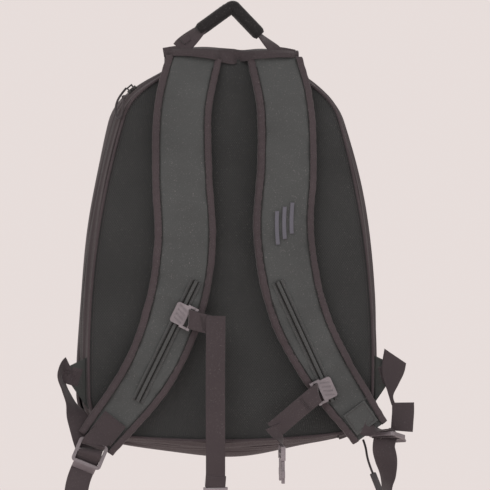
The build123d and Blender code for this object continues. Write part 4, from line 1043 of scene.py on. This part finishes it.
FRONT = (0, -1, 0)
strip("tail_left", [(-0.1528, -0.0238, -0.4708), (-0.1543, -0.0302, -0.4735), (-0.1553, -0.0308, -0.4768),
                    (-0.1572, -0.0268, -0.4815), (-0.1600, -0.0232, -0.4875), (-0.1640, -0.0240, -0.4960),
                    (-0.1680, -0.0280, -0.5080), (-0.1702, -0.0310, -0.5250), (-0.1702, -0.0322, -0.5560)],
      [(-0.1, -0.6, 0.8), (0, -1, 0.3), (0, -1, -0.2), (-0.2, -0.8, -0.6), FRONT, (0, -1, 0.3), (0, -1, 0.2),
       (0.15, -1, 0), (-0.1, -1, 0)], "adjuster_left", "adjuster_tail_left", count=130)
strip("tail_left_hem", [(-0.1702, -0.0337, -0.5440), (-0.1702, -0.0342, -0.5562)], (-0.1, -1, 0), "adjuster_left")
strip("tail_right", [(0.1668, -0.0120, -0.4600), (0.1690, -0.0135, -0.4618), (0.1668, -0.0172, -0.4660),
                     (0.1655, -0.0178, -0.4760), (0.1680, -0.0175, -0.4880), (0.1700, -0.0165, -0.5040),
                     (0.1692, -0.0160, -0.5200), (0.1695, -0.0160, -0.5580)],
      [(0, -0.3, 1), (0, -0.7, 0.7), (0, -1, 0.2), FRONT, (-0.4, -1, 0), (-1, -0.7, 0), (-1, -0.25, 0),
       (-1, -0.15, 0)], "adjuster_right", "adjuster_tail_right", count=130)

ANCHORS = {
    "left": ([(-0.1760, 0.0030, -0.3860), (-0.1838, 0.0022, -0.3900), (-0.1862, 0.0010, -0.3975),
              (-0.1822, -0.0005, -0.4095), (-0.1752, -0.0035, -0.4250), (-0.1672, -0.0100, -0.4420),
              (-0.1612, -0.0185, -0.4600), (-0.1575, -0.0232, -0.4730), (-0.1592, -0.0240, -0.4850)],
             [(0.5, -0.85, 0.1), (0.9, -0.45, -0.2), (0.98, -0.25, 0), (0.97, -0.22, 0), (0.9, -0.4, 0),
              (0.35, -0.9, 0.2), (0, -1, 0.3), (0, -1, 0.3), FRONT], (-0.184, 0.002, -0.400)),
    "right": ([(0.1908, 0.0006, -0.4280), (0.1908, 0.0002, -0.4380), (0.1900, -0.0004, -0.4480),
               (0.1890, -0.0012, -0.4596)], FRONT, (0.190, 0.001, -0.395)),
}
# The right webbing is folded on its way down: these are the two edges of the part above the fold.
FOLD_EDGES = (
    [(0.1700, 0.0010, -0.3680), (0.1668, 0.0010, -0.3930), (0.1735, 0.0012, -0.4160),
     (0.1782, 0.0014, -0.4310)],
    [(0.1942, 0.0006, -0.3844), (0.1918, 0.0004, -0.3950), (0.1852, 0.0004, -0.4085),
     (0.1798, 0.0010, -0.4205), (0.1830, 0.0014, -0.4320)])
WEBBING_THICK = 0.0016
WING = cloth("wing_cloth", (0.020, 0.022, 0.021), (0.055, 0.059, 0.057), "twill", 0.0013, 0.00015)
for side, sign in (("left", -1), ("right", 1)):
    route, looks, fixed = ANCHORS[side]
    run = strip(f"anchor_web_{side}", route, looks, None, f"anchor_webbing_{side}", count=110)
    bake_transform(run)
    if side == "right":
        edges = [smooth_path(line, 60)[:, None] for line in FOLD_EDGES]
        share = np.linspace(0, 1, 15)[None, :, None]
        fold = grid_mesh("anchor_fold_right", edges[0] * (1 - share) + edges[1] * share, flip=True)
        thickened(fold, WEBBING_THICK, 0.0)
        finish_piece(fold, WEBBING, None, "webbing")
        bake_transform(fold)
    low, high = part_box(f"strap_wing_{side}")
    middle_z = low.z / 2 + high.z / 2
    out_x, in_x = (high.x, low.x) if side == "right" else (low.x, high.x)
    strip(f"wing_web_{side}", [(in_x + sign * 0.006, 0.0034, middle_z + 0.004), (out_x, 0.0034, middle_z + 0.008),
                               (0.1780 * sign, 0.0030, middle_z + 0.012)], FRONT, "pack", wide=0.0200)
    across = np.linspace(-1, 1, 21)[None, :]
    along = np.linspace(-0.16, 1.0, 26)[:, None]
    half = 0.0260 + (0.0080 - 0.0260) * along
    bulge = 0.0009 * np.cos(across * 1.4) * np.clip(along * 3, 0, 1) * np.clip((1 - along) * 4, 0, 1)
    wing_grid = np.stack([in_x + (out_x - in_x) * along + 0 * across, 0.0048 - bulge + 0.0016 * (along < 0),
                          middle_z + 0.009 * along + half * across], axis=-1)
    wing = grid_mesh(f"strap_wing_cloth_{side}", wing_grid, flip=side == "right")
    thickened(wing, 0.0026, 0.0)
    finish_piece(wing, WING, "pack", "shell_fabric", f"strap_wing_{side}")
    x0, x1 = in_x + sign * 0.0040, out_x - sign * 0.0025
    box_stitches(f"wing_box_{side}", [(x0, 0.0034, middle_z - 0.0070), (x1, 0.0034, middle_z + 0.0030),
                                      (x1, 0.0034, middle_z + 0.0125), (x0, 0.0034, middle_z + 0.0100)],
                 (0, -0.0022, 0), "pack")


# ---- Sternum clip webbing ----------------------------------------------------------------------
# Webbing 20 mm wide loops round each slider's bar. The left one folds over and hangs to the
# buckle's socket; the right one folds and turns edge-on down to the plug.
strip("sternum_left_lead", [(-0.0490, -0.0292, -0.3322), (-0.0478, -0.0325, -0.3325), (-0.0440, -0.0340, -0.3340),
                            (-0.0340, -0.0342, -0.3368), (-0.0190, -0.0343, -0.3408)],
      [(-0.7, -0.6, 0), (-0.5, -0.8, 0), FRONT, FRONT, FRONT], "sternum_left", "sternum_webbing_left", wide=0.0200,
      thick=0.0017)
strip("sternum_left_hang", [(-0.0205, -0.0353, -0.3290), (-0.0208, -0.0362, -0.3420), (-0.0212, -0.0360, -0.3900),
                            (-0.0210, -0.0357, -0.4450), (-0.0210, -0.0353, -0.5180)],
      FRONT, "sternum_left", wide=0.0208, thick=0.0017, count=140, wave=0.0008)
tack = np.linspace((-0.0372, -0.0352, -0.3285), (-0.0345, -0.0352, -0.3450), 24)
for shift in (0.0, 0.0011, 0.0022):
    stitched(f"sternum_left_tack_{int(shift * 1e4)}", tack + [shift, 0, 0], (0, -1, 0), "sternum_left", "webbing",
             pitch=0.0013, stitch=0.0011, thick=0.0005)
hem = carried("sternum_keeper_roll", smooth_path([(-0.0318, -0.0354, -0.5058), (-0.0102, -0.0354, -0.5074)], 20),
              (0, -1, 0), squared(0.0128, 0.0046, 30, 4.0))
finish_piece(hem, WEBBING, "sternum_left", "webbing", "sternum_keeper")
stitched("sternum_keeper_stitches", np.linspace((-0.0308, -0.0378, -0.5026), (-0.0112, -0.0378, -0.5040), 20),
         (0, -1, 0), "sternum_left", "webbing", pitch=0.0022, stitch=0.0016)

strip("sternum_right_lead", [(0.0905, -0.0292, -0.4128), (0.0900, -0.0325, -0.4133), (0.0865, -0.0340, -0.4160),
                             (0.0700, -0.0344, -0.4295), (0.0500, -0.0347, -0.4460), (0.0415, -0.0349, -0.4530)],
      [(0.7, -0.6, 0), (0.5, -0.8, 0), FRONT, FRONT, FRONT, FRONT], "sternum_right", "sternum_webbing_right",
      wide=0.0200, thick=0.0017)


def narrowed(share):
    return (1 - 0.35 * math.exp(-(((share - 0.35) / 0.25) ** 2)), 1.0)


strip("sternum_right_drop", [(0.0410, -0.0362, -0.4480), (0.0440, -0.0372, -0.4550), (0.0480, -0.0392, -0.4610),
                             (0.0500, -0.0406, -0.4680), (0.0500, -0.0407, -0.4760)],
      [FRONT, (0.4, -0.95, 0.1), (0.8, -0.6, 0), (1, -0.1, 0), (1, 0, 0)], "sternum_right", wide=0.0190, thick=0.0017,
      taper=narrowed)
tack = np.linspace((0.0762, -0.0356, -0.4135), (0.0880, -0.0356, -0.4280), 24)
for shift in (0.0, 0.0011, 0.0022):
    stitched(f"sternum_right_tack_{int(shift * 1e4)}", tack - [0.0045 + shift, 0, 0.0036 + shift], (0, -1, 0),
             "sternum_right", "webbing", pitch=0.0013, stitch=0.0011, thick=0.0005)


# ---- Zips --------------------------------------------------------------------------------------
# The main zip runs round the gusset between the two corners of the base, and the pocket zip runs
# straight across. Each is a coil between two tapes, with a slider that keeps its CAD shape.
def coil(name, path, face, radius, pitch, body, per_pitch=4):
    """Round bead with a ring at every tooth."""
    path = np.asarray(path, float)
    length = np.concatenate([[0], np.cumsum(np.linalg.norm(np.diff(path, axis=0), axis=1))])
    station = np.arange(0, length[-1], pitch / per_pitch)
    line = np.stack([np.interp(station, length, path[:, k]) for k in range(3)], axis=1)
    look = np.stack([np.interp(station, length, np.asarray(face)[:, k]) for k in range(3)], axis=1)
    swell = 1 + 0.16 * np.cos(station * 2 * math.pi / pitch)
    turn = np.linspace(0, 2 * math.pi, 8, endpoint=False)
    forward = along_path(line)
    across = np.cross(forward, look)
    ring = (across[:, None] * np.cos(turn)[None, :, None] + look[:, None] * np.sin(turn)[None, :, None])
    teeth = grid_mesh(name, line[:, None] + ring * (radius * swell)[:, None, None], around=True, flip=True)
    finish_piece(teeth, COIL, body, "zip_tape")
    return teeth


COIL = moulded("zip_coil", (0.010, 0.009, 0.009), (0.040, 0.036, 0.037), roughness=0.45)
seam_loop = shell_outline(0.026, 720)
seam_out = outward(seam_loop)
kept = np.arange(int(ZIPPED[0] * 720), int(ZIPPED[1] * 720) + 1) % 720
seam_face = np.stack([seam_out[kept, 0], 0 * kept, seam_out[kept, 1]], axis=1)
for body, y in (("pack", 0.0250), ("front_section", 0.0270)):
    line = np.stack([seam_loop[kept, 0], np.full(len(kept), y), seam_loop[kept, 1]], axis=1)
    coil(f"main_coil_{body}", line - seam_face * 0.0002, seam_face, 0.0009, 0.0015, body)

tape_y = pocket_face_y + 0.0003
tape_x = np.linspace(-ZIP_HALF - 0.004, ZIP_HALF + 0.004, 60)[None, :]
tape_z = np.linspace(-0.0075, 0.0075, 13)[:, None]
tape_depth = tape_y + 0.0004 * np.cos(tape_z * 300) + 0 * tape_x
tape_places = np.stack([tape_x + 0 * tape_z, tape_depth, ZIP_Z + tape_z + 0 * tape_x], axis=-1)
pocket_tape = grid_mesh("pocket_tape_cloth", tape_places, flip=True)
thickened(pocket_tape, 0.0007, 0.0)
finish_piece(pocket_tape, TAPE, "front_section", "zip_tape", "pocket_zip_tape")
straight = np.stack([tape_x[0], np.full(60, tape_y + 0.0008), np.full(60, ZIP_Z)], axis=1)
coil("pocket_coil", straight, np.repeat([[0, 1, 0]], 60, axis=0), 0.0012, 0.0015, "front_section")


# ---- Zip pulls ---------------------------------------------------------------------------------
# Thin braided cords hang from the two main sliders. The upper one turns back up and is closed by
# a knot; the lower one ends in a moulded sleeve.
CORD = cloth("braided_cord", (0.016, 0.014, 0.015), (0.075, 0.066, 0.070), "twill", 0.0014, 0.00015,
             source="Object", roughness=0.75)
PULL_ROUTES = {
    "left": [(-0.1155, 0.021, -0.080), (-0.122, 0.015, -0.088), (-0.127, 0.0085, -0.099), (-0.1275, 0.002, -0.111),
             (-0.123, -0.004, -0.117), (-0.1195, -0.007, -0.1075), (-0.1185, -0.0075, -0.095)],
    "right": [(0.1495, 0.020, -0.4715), (0.1515, 0.0145, -0.479), (0.152, 0.011, -0.488), (0.1545, 0.009, -0.498),
              (0.158, 0.008, -0.507)],
}


def pull_cord(side):
    """Smooth cord through the route points of its CAD tube."""
    curve = bpy.data.curves.new(f"zip_pull_cord_{side}", "CURVE")
    curve.dimensions = "3D"
    curve.bevel_depth, curve.bevel_resolution, curve.resolution_u, curve.use_fill_caps = 0.00125, 3, 16, True
    spline = curve.splines.new("NURBS")
    spline.points.add(len(PULL_ROUTES[side]) - 1)
    for point, place in zip(spline.points, PULL_ROUTES[side]):
        point.co = (*place, 1)
    spline.order_u = 3
    spline.use_endpoint_u = True
    piece = bpy.data.objects.new(curve.name, curve)
    bpy.context.scene.collection.objects.link(piece)
    piece.data.materials.append(CORD)
    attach(piece, f"zip_pull_{side}")
    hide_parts(f"zip_cord_{side}")
    return piece


def knot_piece():
    """Overhand knot: a lumpy ball with two turns of cord in relief."""
    low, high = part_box("pull_knot")
    centre, radius = (low + high) / 2, (high - low) / 2
    bow = np.linspace(-math.pi / 2, math.pi / 2, 34)[:, None]
    turn = np.linspace(0, 2 * math.pi, 44, endpoint=False)[None, :]
    size = 0.92 + 0.12 * np.abs(np.sin(turn * 1.0 + bow * 2.6)) ** 0.6
    return np.stack([centre.x + radius.x * size * np.cos(bow) * np.cos(turn),
                     centre.y + radius.y * size * np.cos(bow) * np.sin(turn),
                     centre.z + radius.z * size * np.sin(bow) + 0 * turn], axis=-1)


knot = grid_mesh("pull_knot_ball", knot_piece(), around=True)
finish_piece(knot, CORD, "zip_pull_left", "pull", "pull_knot")
sleeve = softened("pull_sleeve", 0.0009, RUBBER, "zip_pull_right", "pull_rubber", 3)
cords = {side: pull_cord(side) for side in ("left", "right")}


# ---- Inside ------------------------------------------------------------------------------------
# The foam, the plastic sheet, the lining, the sleeve and the divider keep their plain CAD shapes
# and show only with the front section open.
LINING = cloth("lining_cloth", (0.075, 0.076, 0.082), (0.150, 0.152, 0.160), "plain", 0.0008, 0.00010,
               source="Object")
FOAM = cloth("foam_board", (0.050, 0.050, 0.050), (0.090, 0.090, 0.090), "dotted", 0.0022, 0.00010, source="Object")
SHEET = moulded("sheet_plastic", (0.55, 0.55, 0.53), (0.70, 0.70, 0.68), roughness=0.5)
for name, material in (("back_foam", FOAM), ("frame_sheet", SHEET), ("back_lining", LINING),
                       ("inner_sleeve", LINING)):
    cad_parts[name].data.materials.clear()
    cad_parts[name].data.materials.append(material)
divider_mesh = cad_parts["racket_divider"].data.copy()
divider_mesh.materials.clear()
low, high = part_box("racket_divider")
for corner in divider_mesh.vertices:
    corner.co = (corner.co.x * 0.965, corner.co.y, high.z - 0.004 + (corner.co.z - high.z) * 0.975)
finish_piece(new_object("racket_divider_board", divider_mesh), LINING, "front_section", "lining", "racket_divider")
